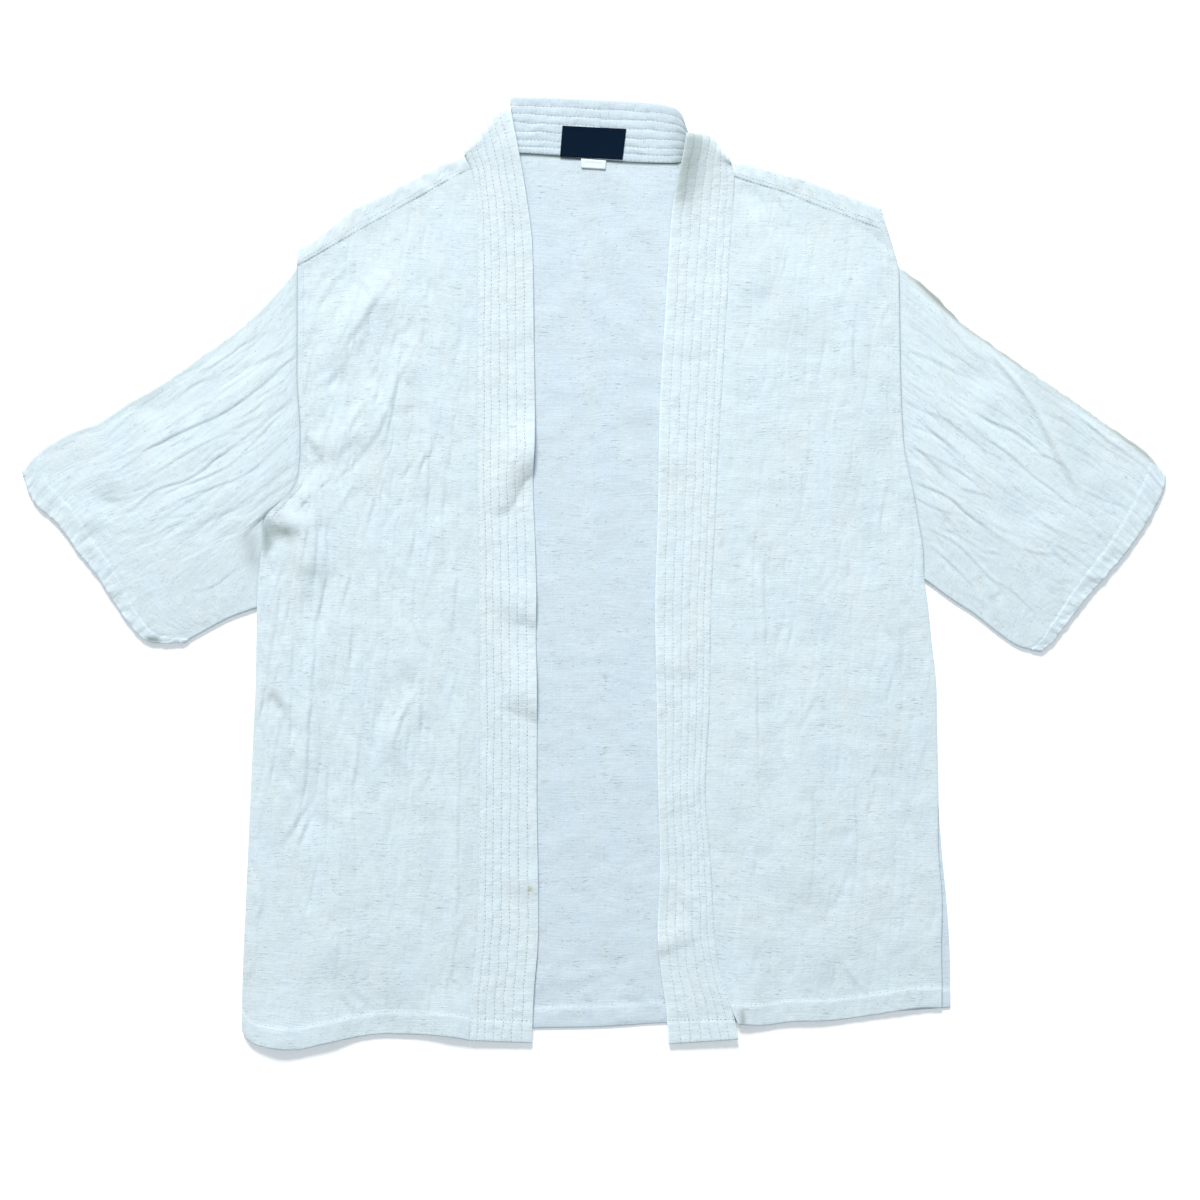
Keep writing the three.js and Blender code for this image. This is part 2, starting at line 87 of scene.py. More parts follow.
# ---- mesh lines: cells across and along a piece, and extra lines near its edges, mm ----
BACK_CELL = 4.4
SHOULDER_COLUMNS = 96
NECK_COLUMNS = 74
FRONT_CELLS = (1.12, 3.5)
SLEEVE_CELLS = (1.06, 3.0)
SLEEVE_LOWER_ROWS = 40
BAND_CELLS = (1.35, 1.75)
RIM_LINES = (0.5, 1.3, 4.6, TOPSTITCH_INSET, 6.6)
FOOT_LINES = (0.5, 1.2, 2.2, 3.6)
FOLD_LINES = (0.4, 1.0, 1.8)
HEM_LINES = (HEM_DEPTH - 1.2, HEM_DEPTH, HEM_DEPTH + 1.2)

# ---- stitches: pitch, length, width, height ----
HEM_STITCH = (3.2, 2.2, 0.5, 0.3)
SHOULDER_STITCH = (2.8, 2.0, 0.5, 0.3)
ARMHOLE_STITCH = (2.6, 1.5, 0.5, 0.3)
QUILT_STITCH = {-1: (3.1, 1.5, 0.7, 0.32), 1: (3.1, 1.4, 0.55, 0.25)}
BAND_SEAM_STITCH = (3.6, 1.3, 0.4, 0.2)
LABEL_STITCH = (2.4, 1.7, 0.4, 0.25)

# ---- stage: metres, and watts for the window ----
FLOOR_HALF = 6.0
FLOOR_Z = -0.0003
FLOOR_GLOW = 0.17  # a light table: it keeps the shadows round the garment pale
SKY_STRENGTH = 0.53
WINDOW_PLACE = (-0.8, 4.7, 3.5)
WINDOW_SIZE = 2.0
WINDOW_POWER = 478
LENS = 85
SENSOR = 36
PICTURE_WIDTH = 0.96
PICTURE_MIDDLE = (0.004, -0.022)

# ---- sides of the body: right x, y, left x, y, from the hem up ----
SIDES = [
    [-282, -366, 277, -348],
    [-282, -349, 277, -331],
    [-282, -346, 277, -328],
    [-281, -310, 276.5, -301],
    [-279, -267, 277, -262],
    [-277, -221, 274, -220],
    [-275, -175, 274, -175],
    [-273, -131, 273, -129],
    [-271, -87, 272, -83],
    [-270.5, -58, 269, -58],
    [-270, -28, 266, -28],
    [-268.5, -2, 263, -5],
    [-265.5, 26, 262, 19],
    [-264, 43, 258, 43],
    [-251, 57, 254, 66],
    [-240, 69, 250, 84],
    [-236, 91, 247, 100],
    [-236, 121, 245, 130],
    [-238, 152, 244, 160],
    [-238, 183, 243.5, 190],
    [-238, 204, 243, 220],
    [-238, 224, 242, 245],
    [-238, 244, 234, 271],
]
# The back's own left edge beside the vent, where it shows beyond the front.
VENT_BACK_X = [284, 284, 284, 283.5, 281, 277]
# The rows of SIDES between which each armhole lies.
ARMHOLE_RIGHT = (10, 22)
ARMHOLE_LEFT = (11, 21)

HEM_RIGHT = [
    [-282, -366], [-275, -375], [-258, -380], [-236, -381], [-222, -378], [-199, -373],
    [-174, -369], [-154, -369], [-130, -370], [-110, -372], [-100.5, -374],
]
HEM_LEFT = [
    [114.9, -361], [136, -362], [158, -359], [190, -358], [221, -354], [259, -348],
    [277, -348],
]
HEM_BACK = [
    [-282, -365], [-236, -371], [-156, -366], [-51, -364], [4, -363], [54, -360],
    [132, -359], [212, -353], [284, -348],
]
SHOULDER_FOLD_RIGHT = [
    [-238, 256], [-208, 278], [-192, 291], [-172, 300], [-139, 317], [-119, 327],
    [-102, 333],
]
SHOULDER_SEAM_RIGHT = [
    [-238, 244], [-199, 266], [-167, 284], [-137, 301], [-109, 317], [-98.5, 322.1],
]
NECKLINE = [
    [-102, 333], [-80, 335.6], [-54, 334.8], [-24, 332.8], [4, 330.1], [32, 328], [62, 327.2],
    [80, 328.2], [108, 327],
]
SHOULDER_FOLD_LEFT = [
    [108, 327], [118, 327], [139, 321], [164, 315], [182, 308], [229, 291],
]
SHOULDER_SEAM_LEFT = [[111.3, 315.7], [124, 311], [151, 303], [170, 295], [234, 271]]
SLEEVE_RIGHT = {
    "side": -1,
    "rows": ARMHOLE_RIGHT,
    "cuff": [
        [-329, -56], [-354, -56], [-361, -53], [-373, -40], [-386, -21], [-399, -1],
        [-413, 16], [-429, 38], [-449, 57], [-458, 80],
    ],
    "lower": [[-292, -36], [-315, -48], [-329, -56]],
    "upper": [
        [-250, 228], [-280, 198], [-310, 176], [-344, 152], [-372, 136], [-396, 120],
        [-421, 111], [-446, 94], [-458, 80],
    ],
}
SLEEVE_LEFT = {
    "side": 1,
    "rows": ARMHOLE_LEFT,
    "cuff": [
        [357, -63], [365, -56], [393, -20], [412, 1], [434, 29], [455, 68], [456, 76],
    ],
    "lower": [[286, -22], [303, -33], [322, -48], [339, -59], [357, -63]],
    "upper": [
        [271, 222], [292, 200], [318, 181], [348, 160], [378, 140], [410, 117],
        [438, 98], [449, 85], [456, 76],
    ],
}

# ---- band: free edge x, y, z, then seam edge x, y, z; z is the middle of the wall ----
BAND_RIGHT = {
    "front": [
        [-50.4, -376, 3.4, -100, -374, 4.6],
        [-48.8, -336, 3.2, -98.4, -334, 3.6],
        [-45.6, -294, 2.5, -94.4, -294, 3],
        [-46.4, -182, 2.5, -92, -182, 3],
        [-46.4, -122, 2.4, -91.6, -122, 2.8],
        [-46.4, -86, 2.6, -91.6, -90, 2.8],
        [-47.2, -54, 2.4, -92, -54, 2.8],
        [-46.8, -16, 2.6, -92.4, -16, 2.8],
        [-48, 26, 2.4, -92.8, 22, 2.8],
        [-49.6, 72, 2.4, -93.6, 62, 2.8],
        [-48, 106, 2.6, -93.9, 106, 2.8],
        [-48.8, 186, 2.4, -93.8, 186, 2.8],
        [-50.4, 266, 2.8, -93.6, 258, 2.8],
        [-54.4, 298, 4.6, -94.4, 296, 3.3],
        [-60, 332, 5.6, -98.6, 322.1, 4.3],
        [-64.5, 355, 6.4, -102.6, 330.4, 5.4],
    ],
    "fold": [[-67.4, 371.5], [-105, 336.6], 6.2],
    "bulge": [
        [0, 0], [0.3, 0.3], [0.5, 1.4], [0.66, 3.6], [0.8, 4.8], [0.88, 4.0], [0.95, 1.8], [1, 0],
    ],
    "neck": [
        [-65.6, 375.5, -90, 336.4],
        [-66.5, 380.8, -77, 336],
        [-61, 381.2, -74, 335.8],
        [-43.2, 380.4, -54, 335],
        [-12, 379.2, -24, 333],
        [3.9, 378.6, 3.9, 330.3],
    ],
}
BAND_LEFT = {
    "front": [
        [58.6, -377, 3.4, 114.4, -373, 4.8],
        [57.1, -352, 3.2, 110.4, -352, 4],
        [52.8, -320, 2.8, 100, -320, 3.2],
        [50, -292, 2.5, 95.8, -292, 3],
        [52, -236, 2.4, 92.8, -236, 2.8],
        [50.4, -175, 2.4, 88.4, -175, 2.9],
        [49.2, -102, 2.4, 91.6, -102, 2.8],
        [48, -22, 2.8, 92.8, -22, 2.8],
        [49.9, 35, 2.4, 95.7, 35, 2.8],
        [52, 138, 2.4, 100.8, 138, 2.8],
        [56.8, 218, 2.6, 105.6, 218, 2.8],
        [59.2, 258, 3.0, 108, 258, 2.8],
        [62, 292, 4.4, 110.6, 296, 3.2],
        [66, 315, 5.8, 111.2, 315.7, 4.2],
        [70, 333, 6.8, 109.4, 325, 5.2],
    ],
    "fold": [[72.8, 350.5], [106.6, 331.4], 6.6],
    "bulge": [[0, 0], [0.2, 1.8], [0.45, 6.2], [0.6, 6.2], [0.78, 3.4], [0.92, 0.8], [1, 0]],
    "neck": [
        [72, 356, 88, 329.4],
        [71.2, 362, 80, 328.8],
        [69, 367.4, 76, 328.2],
        [64.5, 371.4, 71, 327.8],
        [54, 374.8, 62, 327.4],
        [28, 377.2, 32, 328.2],
        [4.1, 378.4, 4.1, 330.2],
    ],
}
# Folds across the band: height, reach below the crest, reach above it, points of the crest.
BAND_FOLDS = [
    [1.4, 9, 12, (46, -299), (60, -294), (76, -288)],
    [1.4, 7, 8, (74, -260), (88, -276), (108, -302)],
    [4.6, 17, 26, (-40, 96), (-52, 95), (-64, 88), (-73, 76), (-80, 62)],
    [2.1, 15, 16, (-40, -33), (-52, -29), (-68, -24), (-84, -14)],
    [2.6, 17, 22, (-40, -105), (-52, -99), (-66, -94), (-86, -92)],
    [0.9, 12, 16, (-50, 196), (-70, 190), (-90, 192)],
    [0.8, 13, 15, (-46, -250), (-66, -244), (-92, -247)],
    [0.9, 12, 16, (50, 92), (72, 86), (98, 92)],
    [1.0, 12, 16, (46, -66), (66, -74), (90, -68)],
    [0.8, 12, 14, (50, 190), (78, 182), (104, 188)],
    [0.8, 12, 15, (48, -186), (70, -180), (90, -188)],
]
# Rows of quilting across the band, as shares of its width from the seam edge.
QUILT_ROWS = [0.0, 0.12, 0.24, 0.385, 0.53, 0.68, 0.83, 1.0]
LABEL_CORNERS = [[-28, 332.5], [22, 329.8], [25, 354.4], [-26, 357]]
TAB_CORNERS = [[-10.8, 323.4], [8.4, 322.2], [9, 329.2], [-11.2, 330.9]]

# ---- folds: height, width, then the points that the fold follows ----
RIDGES_FRONT_RIGHT = [
    [2.3, 12, (-164, 238), (-190, 205), (-214, 160)],
    [1.9, 10, (-150, 190), (-156, 150), (-186, 95)],
    [1.9, 10, (-172, 150), (-190, 118), (-212, 92)],
    [2.6, 9, (-230, 77), (-229, 35), (-235, -20)],
    [2.8, 9, (-221, -37), (-226, -94), (-231, -175)],
    [2, 10, (-142, -95), (-154, -121), (-166, -150)],
    [1.6, 7, (-107, -114), (-108, -200), (-110, -297)],
    [1.8, 14, (-200, -190), (-205, -250), (-210, -320)],
]
RIDGES_FRONT_LEFT = [
    [1.8, 9, (128, 60), (131, -60), (134, -220)],
    [2, 9, (122, 300), (130, 262), (132, 220)],
    [1.6, 18, (200, 240), (206, 150), (196, 40)],
    [2, 14, (236, 20), (232, -60), (240, -160)],
    [1.6, 18, (160, -60), (166, -150), (160, -260)],
]
RIDGES_SLEEVE_RIGHT = [
    [0.5, 9, (-250, 215), (-305, 176), (-366, 132)],
    [0.65, 8, (-240, 181), (-300, 136), (-376, 90)],
    [0.65, 9, (-240, 156), (-296, 112), (-384, 56)],
    [0.65, 9, (-241, 126), (-290, 86), (-374, 30)],
    [0.6, 10, (-246, 96), (-300, 58), (-362, 5)],
    [0.4, 11, (-266, 50), (-300, 25), (-345, -20)],
]
RIDGES_SLEEVE_LEFT = [
    [0.7, 10, (250, 215), (310, 182), (365, 135)],
    [2.2, 5, (316, 178), (345, 137), (366, 100), (384, 66)],
    [0.8, 9, (248, 152), (290, 127), (345, 85)],
    [0.8, 10, (250, 112), (300, 88), (360, 36)],
    [0.8, 10, (262, 58), (315, 38), (355, -4)],
    [0.8, 8, (378, 134), (410, 112), (436, 92)],
]
# Waves of the fronts' hems: place across, height, reach.
LIFTS_RIGHT = [[-252, 4.5, 22], [-214, 3, 16], [-112, 2.6, 20]]
LIFTS_LEFT = [[118, 3, 14], [170, 1.2, 20], [250, 1, 20]]

# ---- creases: depth of the groove, its width, height of the lip below it, then its points ----
CREASES_SLEEVE_RIGHT = [
    [0.51, 1.1, 0.26, (-254, 194), (-275, 184), (-306, 164), (-325, 156)],
    [0.42, 1.1, 0.26, (-269, 180), (-299, 157), (-319, 150), (-335, 138), (-350, 125)],
    [0.59, 1.1, 0.34, (-239, 187), (-281, 155), (-318, 129), (-336, 118), (-359, 104)],
    [0.77, 1.2, 0.51, (-241, 171), (-270, 145), (-299, 125), (-328, 112), (-359, 96), (-384, 76)],
    [0.51, 1.1, 0.26, (-286, 112), (-296, 109), (-310, 103), (-336, 88), (-359, 73)],
    [0.68, 1.1, 0.51, (-241, 141), (-262, 120), (-294, 96), (-324, 74), (-352, 64), (-379, 39)],
    [0.59, 1.0, 0.34, (-243, 134), (-266, 109), (-294, 83), (-337, 65), (-369, 44)],
    [0.51, 1.0, 0.26, (-244, 108), (-262, 91), (-281, 76), (-324, 60), (-350, 46)],
    [0.34, 1.0, 0.17, (-300, 70), (-330, 52), (-356, 36)],
    [0.42, 1.1, 0.26, (-330, 39), (-342, 34), (-350, 26)],
    [0.42, 1.2, 0.26, (-262, 193), (-270, 183), (-287, 172)],
    [0.42, 1.1, 0.26, (-240, 160), (-256, 147), (-271, 138)],
    [0.42, 1.1, 0.26, (-247, 86), (-262, 70), (-284, 54)],
    [0.34, 1.1, 0.17, (-284, 4), (-305, -12), (-322, -16)],
    [0.68, 2.1, 0.26, (-400, 66), (-392, 58), (-380, 56)],
    [0.59, 2.0, 0.17, (-408, 52), (-402, 46), (-394, 45)],
    [0.51, 2.0, 0.17, (-362, 136), (-354, 131), (-344, 132)],
]
CREASES_SLEEVE_LEFT = [
    [0.6, 1.1, 0.5, (247, 177), (262, 172), (271, 168), (286, 160), (301, 154)],
    [1.0, 1.4, 1.0, (314, 175), (335, 150), (351, 126), (362, 102), (376, 72)],
    [0.5, 1.0, 0.3, (327, 168), (339, 156), (345, 140)],
    [0.6, 1.1, 0.3, (247, 126), (271, 111), (286, 96), (303, 79), (318, 66)],
    [0.7, 1.1, 0.6, (292, 139), (312, 122), (335, 111), (351, 99), (367, 87)],
    [0.6, 1.1, 0.5, (300, 112), (324, 98), (350, 76), (374, 57), (386, 45)],
    [0.5, 1.0, 0.5, (246, 137), (262, 128), (281, 121), (296, 110)],
    [0.5, 1.0, 0.5, (248, 118), (266, 112), (280, 104), (292, 92)],
    [1.0, 1.2, 0.7, (256, 71), (282, 59), (298, 45), (316, 32), (331, 20)],
    [0.5, 1.0, 0.3, (250, 100), (276, 88), (298, 74), (322, 52)],
    [0.5, 1.1, 0.5, (335, 20), (352, 15), (370, 13)],
    [0.6, 1.2, 0.6, (378, 130), (394, 117), (410, 104), (431, 89)],
    [0.5, 1.1, 0.5, (262, 36), (288, 22), (312, -2), (330, -20)],
    [0.6, 1.2, 0.5, (266, 22), (284, 6), (303, -14)],
    [0.5, 1.1, 0.3, (308, -2), (330, -14), (352, -34)],
    [0.5, 1.1, 0.3, (391, 106), (393, 96), (391, 84)],
    [0.5, 1.1, 0.3, (399, 95), (396, 86), (388, 78)],
    [0.5, 1.0, 0.2, (258, 148), (280, 140), (300, 128), (318, 118)],
]
CREASES_FRONT_RIGHT = [
    [1.0, 1.5, 0.8, (-191, 244), (-208, 230), (-222, 210)],
    [1.0, 1.7, 0.9, (-160, 236), (-180, 206), (-208, 168)],
    [1.0, 1.6, 0.8, (-196, 166), (-212, 152), (-225, 148)],
    [1.1, 1.4, 0.8, (-154, 188), (-158, 152), (-170, 115), (-188, 91), (-205, 72)],
    [1.0, 1.3, 0.8, (-145, 175), (-156, 153), (-162, 123), (-168, 97)],
    [1.0, 1.4, 0.6, (-176, 153), (-182, 133), (-197, 112), (-207, 99)],
    [0.8, 1.3, 0.6, (-101, 184), (-100, 160), (-102, 138)],
    [1.1, 1.4, 0.8, (-106, -114), (-108, -200), (-109, -297)],
    [1.4, 1.4, 0.9, (-230, 77), (-229, 35), (-235, -5)],
    [1.4, 1.5, 0.9, (-221, -37), (-223, -65), (-226, -94), (-231, -175), (-240, -206)],
    [2.1, 3.2, 0.9, (-258, -98), (-253, -106), (-248, -112)],
    [1.0, 1.4, 0.8, (-142, -95), (-154, -121), (-162, -141)],
    [0.8, 1.3, 0.6, (-147, -100), (-158, -133)],
    [1.0, 1.3, 0.6, (-225, 60), (-221, 30), (-223, 0), (-226, -30)],
    [1.0, 1.3, 0.6, (-216, 40), (-213, 10), (-217, -20)],
    [1.3, 1.4, 0.8, (-212, -3), (-221, -40), (-225, -60)],
    [1.0, 1.4, 0.6, (-192, 2), (-198, -16), (-204, -34)],
    [1.0, 1.4, 0.6, (-249, -8), (-252, -26), (-252, -46)],
    [1.0, 1.4, 0.6, (-195, -45), (-194, -58), (-195, -70)],
    [1.0, 1.5, 0.6, (-242, 20), (-244, -30), (-240, -90), (-244, -140)],
    [0.8, 1.4, 0.6, (-210, -130), (-214, -190), (-212, -250)],
    [0.8, 1.4, 0.6, (-186, -120), (-192, -180), (-190, -236)],
    [0.6, 1.4, 0.4, (-172, -60), (-176, -120), (-182, -160)],
    [1.4, 2.6, 0.8, (-232, 106), (-224, 98), (-220, 84)],
    [2.4, 2.0, 1.4, (-266, 44), (-257, 35), (-246, 31), (-236, 32)],
    [1.9, 1.8, 0.9, (-262, 40), (-262, 26), (-258, 12)],
    [1.4, 2.2, 0.9, (-236, 90), (-227, 84), (-218, 86)],
    [0.8, 1.3, 0.6, (-128, 120), (-134, 60), (-133, 10)],
    [0.8, 1.3, 0.4, (-118, 90), (-121, 40), (-119, -30)],
    [1.1, 1.3, 0.8, (-225, -178), (-236, -198), (-250, -218)],
    [0.9, 1.2, 0.6, (-222, -188), (-230, -204), (-237, -220)],
    [1.0, 1.6, 0.7, (-196, -330), (-188, -340), (-176, -352)],
    [0.8, 1.4, 0.6, (-206, -334), (-200, -344), (-195, -352)],
    [0.8, 1.3, 0.5, (-240, 10), (-240, -50), (-244, -96)],
    [0.7, 1.2, 0.5, (-233, -10), (-233, -60), (-236, -110)],
]
CREASES_FRONT_LEFT = [
    [0.8, 1.3, 0.6, (117, 318), (122, 306), (126, 296)],
    [0.8, 1.3, 0.6, (126, 308), (134, 296), (138, 282)],
    [0.8, 1.3, 0.6, (140, 303), (150, 288), (154, 270)],
    [0.9, 1.4, 0.6, (130, 41), (127, 0), (129, -60), (133, -218)],
    [0.6, 1.4, 0.4, (137, 30), (136, -30), (139, -90)],
    [0.9, 1.4, 0.7, (242, -44), (252, -44), (262, -45)],
    [0.6, 1.5, 0.4, (210, 214), (206, 170), (212, 130)],
    [0.6, 1.5, 0.4, (188, 150), (184, 100), (190, 60)],
    [0.8, 1.4, 0.6, (236, 70), (228, 40), (232, 10)],
    [0.6, 1.5, 0.4, (170, -150), (176, -200), (172, -260)],
    [0.6, 1.5, 0.4, (206, -150), (210, -210), (206, -262)],
    [0.6, 1.5, 0.4, (240, -130), (238, -180), (242, -232)],
]

# ---- hollows and soft rises: height, reach, then the middle of each ----
DENTS_SLEEVE_RIGHT = [
    [-1.5, 11, (-388, 58)], [1.3, 10, (-404, 44)], [-1.2, 11, (-354, 134)],
    [0.9, 13, (-316, 104)], [0.8, 11, (-270, 60)], [-0.9, 13, (-300, 30)],
]
DENTS_SLEEVE_LEFT = [
    [1.2, 15, (322, 140)], [-1.0, 12, (300, 150)], [1.0, 14, (364, 30)],
    [-1.1, 13, (340, 48)], [1.0, 12, (296, 66)], [0.8, 11, (400, 70)],
]
DENTS_FRONT_RIGHT = [
    [-1.8, 7, (-254, 33)], [1.4, 8, (-238, 40)], [1.4, 9, (-248, 14)], [1.3, 8, (-222, 104)],
    [1.6, 14, (-166, 214)], [1.0, 22, (-150, -60)], [0.9, 20, (-210, -300)],
]
DENTS_FRONT_LEFT = [[1.2, 20, (160, 210)], [0.9, 22, (200, -20)], [0.9, 24, (160, -240)]]

# ---- painted shade and highlights, soil and stains: amount, reach, then the points they follow ----
BODY_SHADE_AND_MARKS = [
    # painted shade in the right underarm notch
    [0.34, 4.5, (-268, 40), (-263, 32), (-262, 20)],
    [0.34, 5.5, (-256, 33), (-246, 32)],
    [0.14, 9, (-262, 26), (-246, 26)],
    # a darker patch below the right underarm
    [0.18, 7, (-232, 2), (-219, -2)],
    [0.08, 6, (-164, -358)],
    # painted shade in the V-shaped crease at the right front's side
    [0.15, 5, (-256, -98), (-247, -110)],
    [0.35, 2.6, (117.5, -351), (118, -359)],
    # painted shade on the back below the size tab
    [0.05, 16, (-4, 306)],
    [0.20, 2.2, (101, 23)],
    # painted shadow on the back along the neckline, under the neck band's edge
    [0.85, 1.0, (-64, 334.3), (-54, 334), (-24, 332), (4, 329.3), (32, 327.2), (66, 326.5)],
]
SLEEVE_SHADE_LIGHT_AND_STAIN = [
    # a stain at the right cuff's corner
    [0.55, 2.4, (-356, -53), (-350, -54)],
    # darker beside the left sleeve's long crease
    [0.06, 11, (345, 158), (376, 116), (398, 80)],
    # painted shade in the line of that crease
    [0.12, 1.6, (319, 170), (347, 135), (366, 99), (381, 72)],
    # painted highlight along the crease's crest
    [-0.07, 1.4, (315, 168), (343, 133), (363, 96), (380, 64)],
    # darker along the right sleeve's upper edge
    [0.08, 2.6, (-250, 226), (-344, 150), (-440, 96)],
    # painted shade in the right underarm
    [0.20, 7, (-276, 26), (-273, 10)],
    # painted shade in a hollow of the right sleeve
    [0.07, 12, (-386, 60)],
]
# The left sleeve's darker upper edge: partly painted shade of its rolled-under edge, partly brownish
# soil.
SLEEVE_EDGE_SOIL_AND_SHADE = [
    [0.5, 2.4, (250, 240), (292, 201), (318, 182), (348, 161)],
    [0.36, 2.0, (352, 159), (404, 122), (449, 87)],
]
BAND_PAINTED_SHADE = [
    # painted shade where the left band rises to its turn at the neck and faces away from the light
    [0.34, 10, (80, 352), (74, 322), (70, 303)],
    [0.12, 18, (88, 344), (84, 320)],
    # painted shade on the right band near the shoulder
    [0.05, 14, (-66, 330)],
    # painted shade at the neck band's left end
    [0.09, 11, (66, 372), (70, 350), (68, 330)],
]
# The band's small yellow stain, and a faint yellow cast along its upper part.
STAINS_BAND = [[0.8, 1.6, (-52, -253)], [0.022, 20, (-70, 240), (-70, 90)]]


# ---- curves ----
def line(points, smooth=FINE):
    """Points along a centripetal Catmull-Rom curve, smooth of them to a step of the table."""
    p = np.array(points, float)
    p = np.vstack([2 * p[0] - p[1], p, 2 * p[-1] - p[-2]])
    t = np.linspace(0, 1, smooth, endpoint=False)[:, None]
    out = []
    for a, b, c, d in zip(p, p[1:], p[2:], p[3:]):
        ka, kb, kc = (math.sqrt(max(np.linalg.norm(v), 1e-6)) for v in (b - a, c - b, d - c))
        start = c - b + kb * ((b - a) / ka - (c - a) / (ka + kb))
        end = c - b + kb * ((d - c) / kc - (d - b) / (kb + kc))
        turn = (start + end - 2 * (c - b)) * t**3 + (3 * (c - b) - 2 * start - end) * t**2
        out.append(b + start * t + turn)
    return np.vstack([*out, p[-2][None]])


def lengths(points):
    """How far each point lies along its line."""
    step = np.linalg.norm(np.diff(points, axis=0), axis=1)
    return np.concatenate([[0], np.cumsum(step)])


def by_length(p):
    """A function from shares of a fine line's length to its points."""
    far = lengths(p)
    far = far / far[-1]
    return lambda t: np.stack([np.interp(t, far, p[:, k]) for k in range(p.shape[1])], -1)


def curve(points):
    return by_length(line(points))


def frayed(points, seed, size=0.75):
    """A curve that strays a little from its line between its ends."""
    p = line(points)
    far = lengths(p)
    even = np.linspace(0, far[-1], int(far[-1] / 1.5))
    p = np.stack([np.interp(even, far, p[:, k]) for k in (0, 1)], -1)
    run = np.gradient(p, axis=0)
    out = np.stack([-run[:, 1], run[:, 0]], -1) / np.linalg.norm(run, axis=1, keepdims=True)
    stray = noise(even / 9, even * 0, seed) + 0.6 * noise(even / 3.5, even * 0, seed + 1)
    ends = smoothstep(even, 0, 6) * smoothstep(far[-1] - even, 0, 6)
    return by_length(p + out * (size * stray * ends)[:, None])


def coons(west, east, south, north, u, v):
    """Points between four edge curves, at u across and v up."""
    w, e, s, n = west(v)[None], east(v)[None], south(u)[:, None], north(u)[:, None]
    a, b = u[:, None, None], v[None, :, None]
    flat = (1 - b) * ((1 - a) * s[:1] + a * s[-1:]) + b * ((1 - a) * n[:1] + a * n[-1:])
    return (1 - a) * w + a * e + (1 - b) * s + b * n - flat


def steps(length, cell, low=(), high=()):
    """Shares of a length, with extra lines at these distances from its low and high ends."""
    even = np.linspace(0, length, max(2, round(length / cell)) + 1)
    extra = [*low, *(length - d for d in high)]
    keep = [x for x in even if all(abs(x - d) > 0.35 * cell for d in extra) or x in (0, length)]
    return np.unique(np.array([*keep, *extra])) / length


# ---- heights and tones over the cloth ----
def smoothstep(x, low, high):
    t = np.clip((x - low) / (high - low), 0, 1)
    return t * t * (3 - 2 * t)


def bell(distance, reach):
    """1 at no distance, falling softly to 0 beyond the reach."""
    return np.exp(-((distance / reach) ** 2))


def within(share, margin):
    """1 inside a share from 0 to 1, falling to 0 over a margin at both its ends."""
    return smoothstep(share, 0, margin) * smoothstep(1 - share, 0, margin)


def on_hem(from_edge):
    """1 on a turned hem, 0 beyond its stitches."""
    return smoothstep(HEM_DEPTH + 1.2 - from_edge, 0, 2.4)


def on_hem_stitches(from_edge):
    return bell(from_edge - HEM_DEPTH, 1.0)


def noise(x, y, seed):
    """Gradient noise from about -1 to 1, one cell to a unit."""
    xi, yi = np.floor(x).astype(np.int64), np.floor(y).astype(np.int64)
    xf, yf = x - xi, y - yi

    def corner(dx, dy):
        h = (xi + dx) * 374761393 + (yi + dy) * 668265263 + seed * 974634777
        h = (h ^ (h >> 13)) * 1274126177 & 0xFFFFFFFF
        angle = (h ^ (h >> 16)) * (2 * math.pi / 0xFFFFFFFF)
        return np.cos(angle) * (xf - dx) + np.sin(angle) * (yf - dy)

    sx, sy = (t * t * t * (t * (t * 6 - 15) + 10) for t in (xf, yf))
    low = corner(0, 0) * (1 - sx) + corner(1, 0) * sx
    high = corner(0, 1) * (1 - sx) + corner(1, 1) * sx
    return 1.5 * (low * (1 - sy) + high * sy)


def mixed(x, y, *parts):
    """A sum of noises, each with its weight, cell across, cell along and seed."""
    return sum(weight * noise(x / a, y / b, seed) for weight, a, b, seed in parts)


def creased(x, y, seed, sharp=6):
    """Thin lines, 1 on the line and near 0 away from it."""
    return (1 - np.abs(noise(x, y, seed)).clip(0, 1)) ** sharp


def follow(x, y, points):
    """Signed distance to a smooth line through points, and the share of its length there."""
    p = line(points, 5)
    far = lengths(p)
    best = np.full(x.shape, 1e9)
    side = np.zeros(x.shape)
    at = np.zeros(x.shape)
    for k, (a, b) in enumerate(zip(p, p[1:])):
        d = b - a
        t = np.clip(((x - a[0]) * d[0] + (y - a[1]) * d[1]) / (d @ d), 0, 1)
        gap = np.hypot(x - a[0] - t * d[0], y - a[1] - t * d[1])
        near = gap < best
        cross = d[0] * (y - a[1]) - d[1] * (x - a[0])
        side = np.where(near, np.sign(cross), side)
        at = np.where(near, (far[k] + t * (far[k + 1] - far[k])) / far[-1], at)
        best = np.minimum(best, gap)
    return best * side, at


def wobble(x, y, seed, size, cell=26):
    """Places moved a little, so that what follows them strays."""
    return x + size * noise(x / cell, y / cell, seed), y + size * noise(x / cell, y / cell, seed + 1)


def nearby(x, y, points, reach):
    """Which grid points lie within reach of the box round some points."""
    p = np.array(points, float)
    low, high = p.min(0) - reach, p.max(0) + reach
    return (x > low[0]) & (x < high[0]) & (y > low[1]) & (y < high[1])


def ridges(x, y, rows):
    """Soft folds that rise and fall alike on both sides."""
    total = np.zeros(x.shape)
    for height, width, *points in rows:
        at_hand = nearby(x, y, points, 3 * width)
        d, at = follow(x[at_hand], y[at_hand], points)
        total[at_hand] += height * bell(d, width) * np.sin(np.pi * at) ** 0.6
    return total


def uphill_left(points):
    """Whether the side to the left of a line through points is the uphill one."""
    run = np.subtract(points[-1], points[0])
    return run[0] * UPHILL[1] - run[1] * UPHILL[0] >= 0


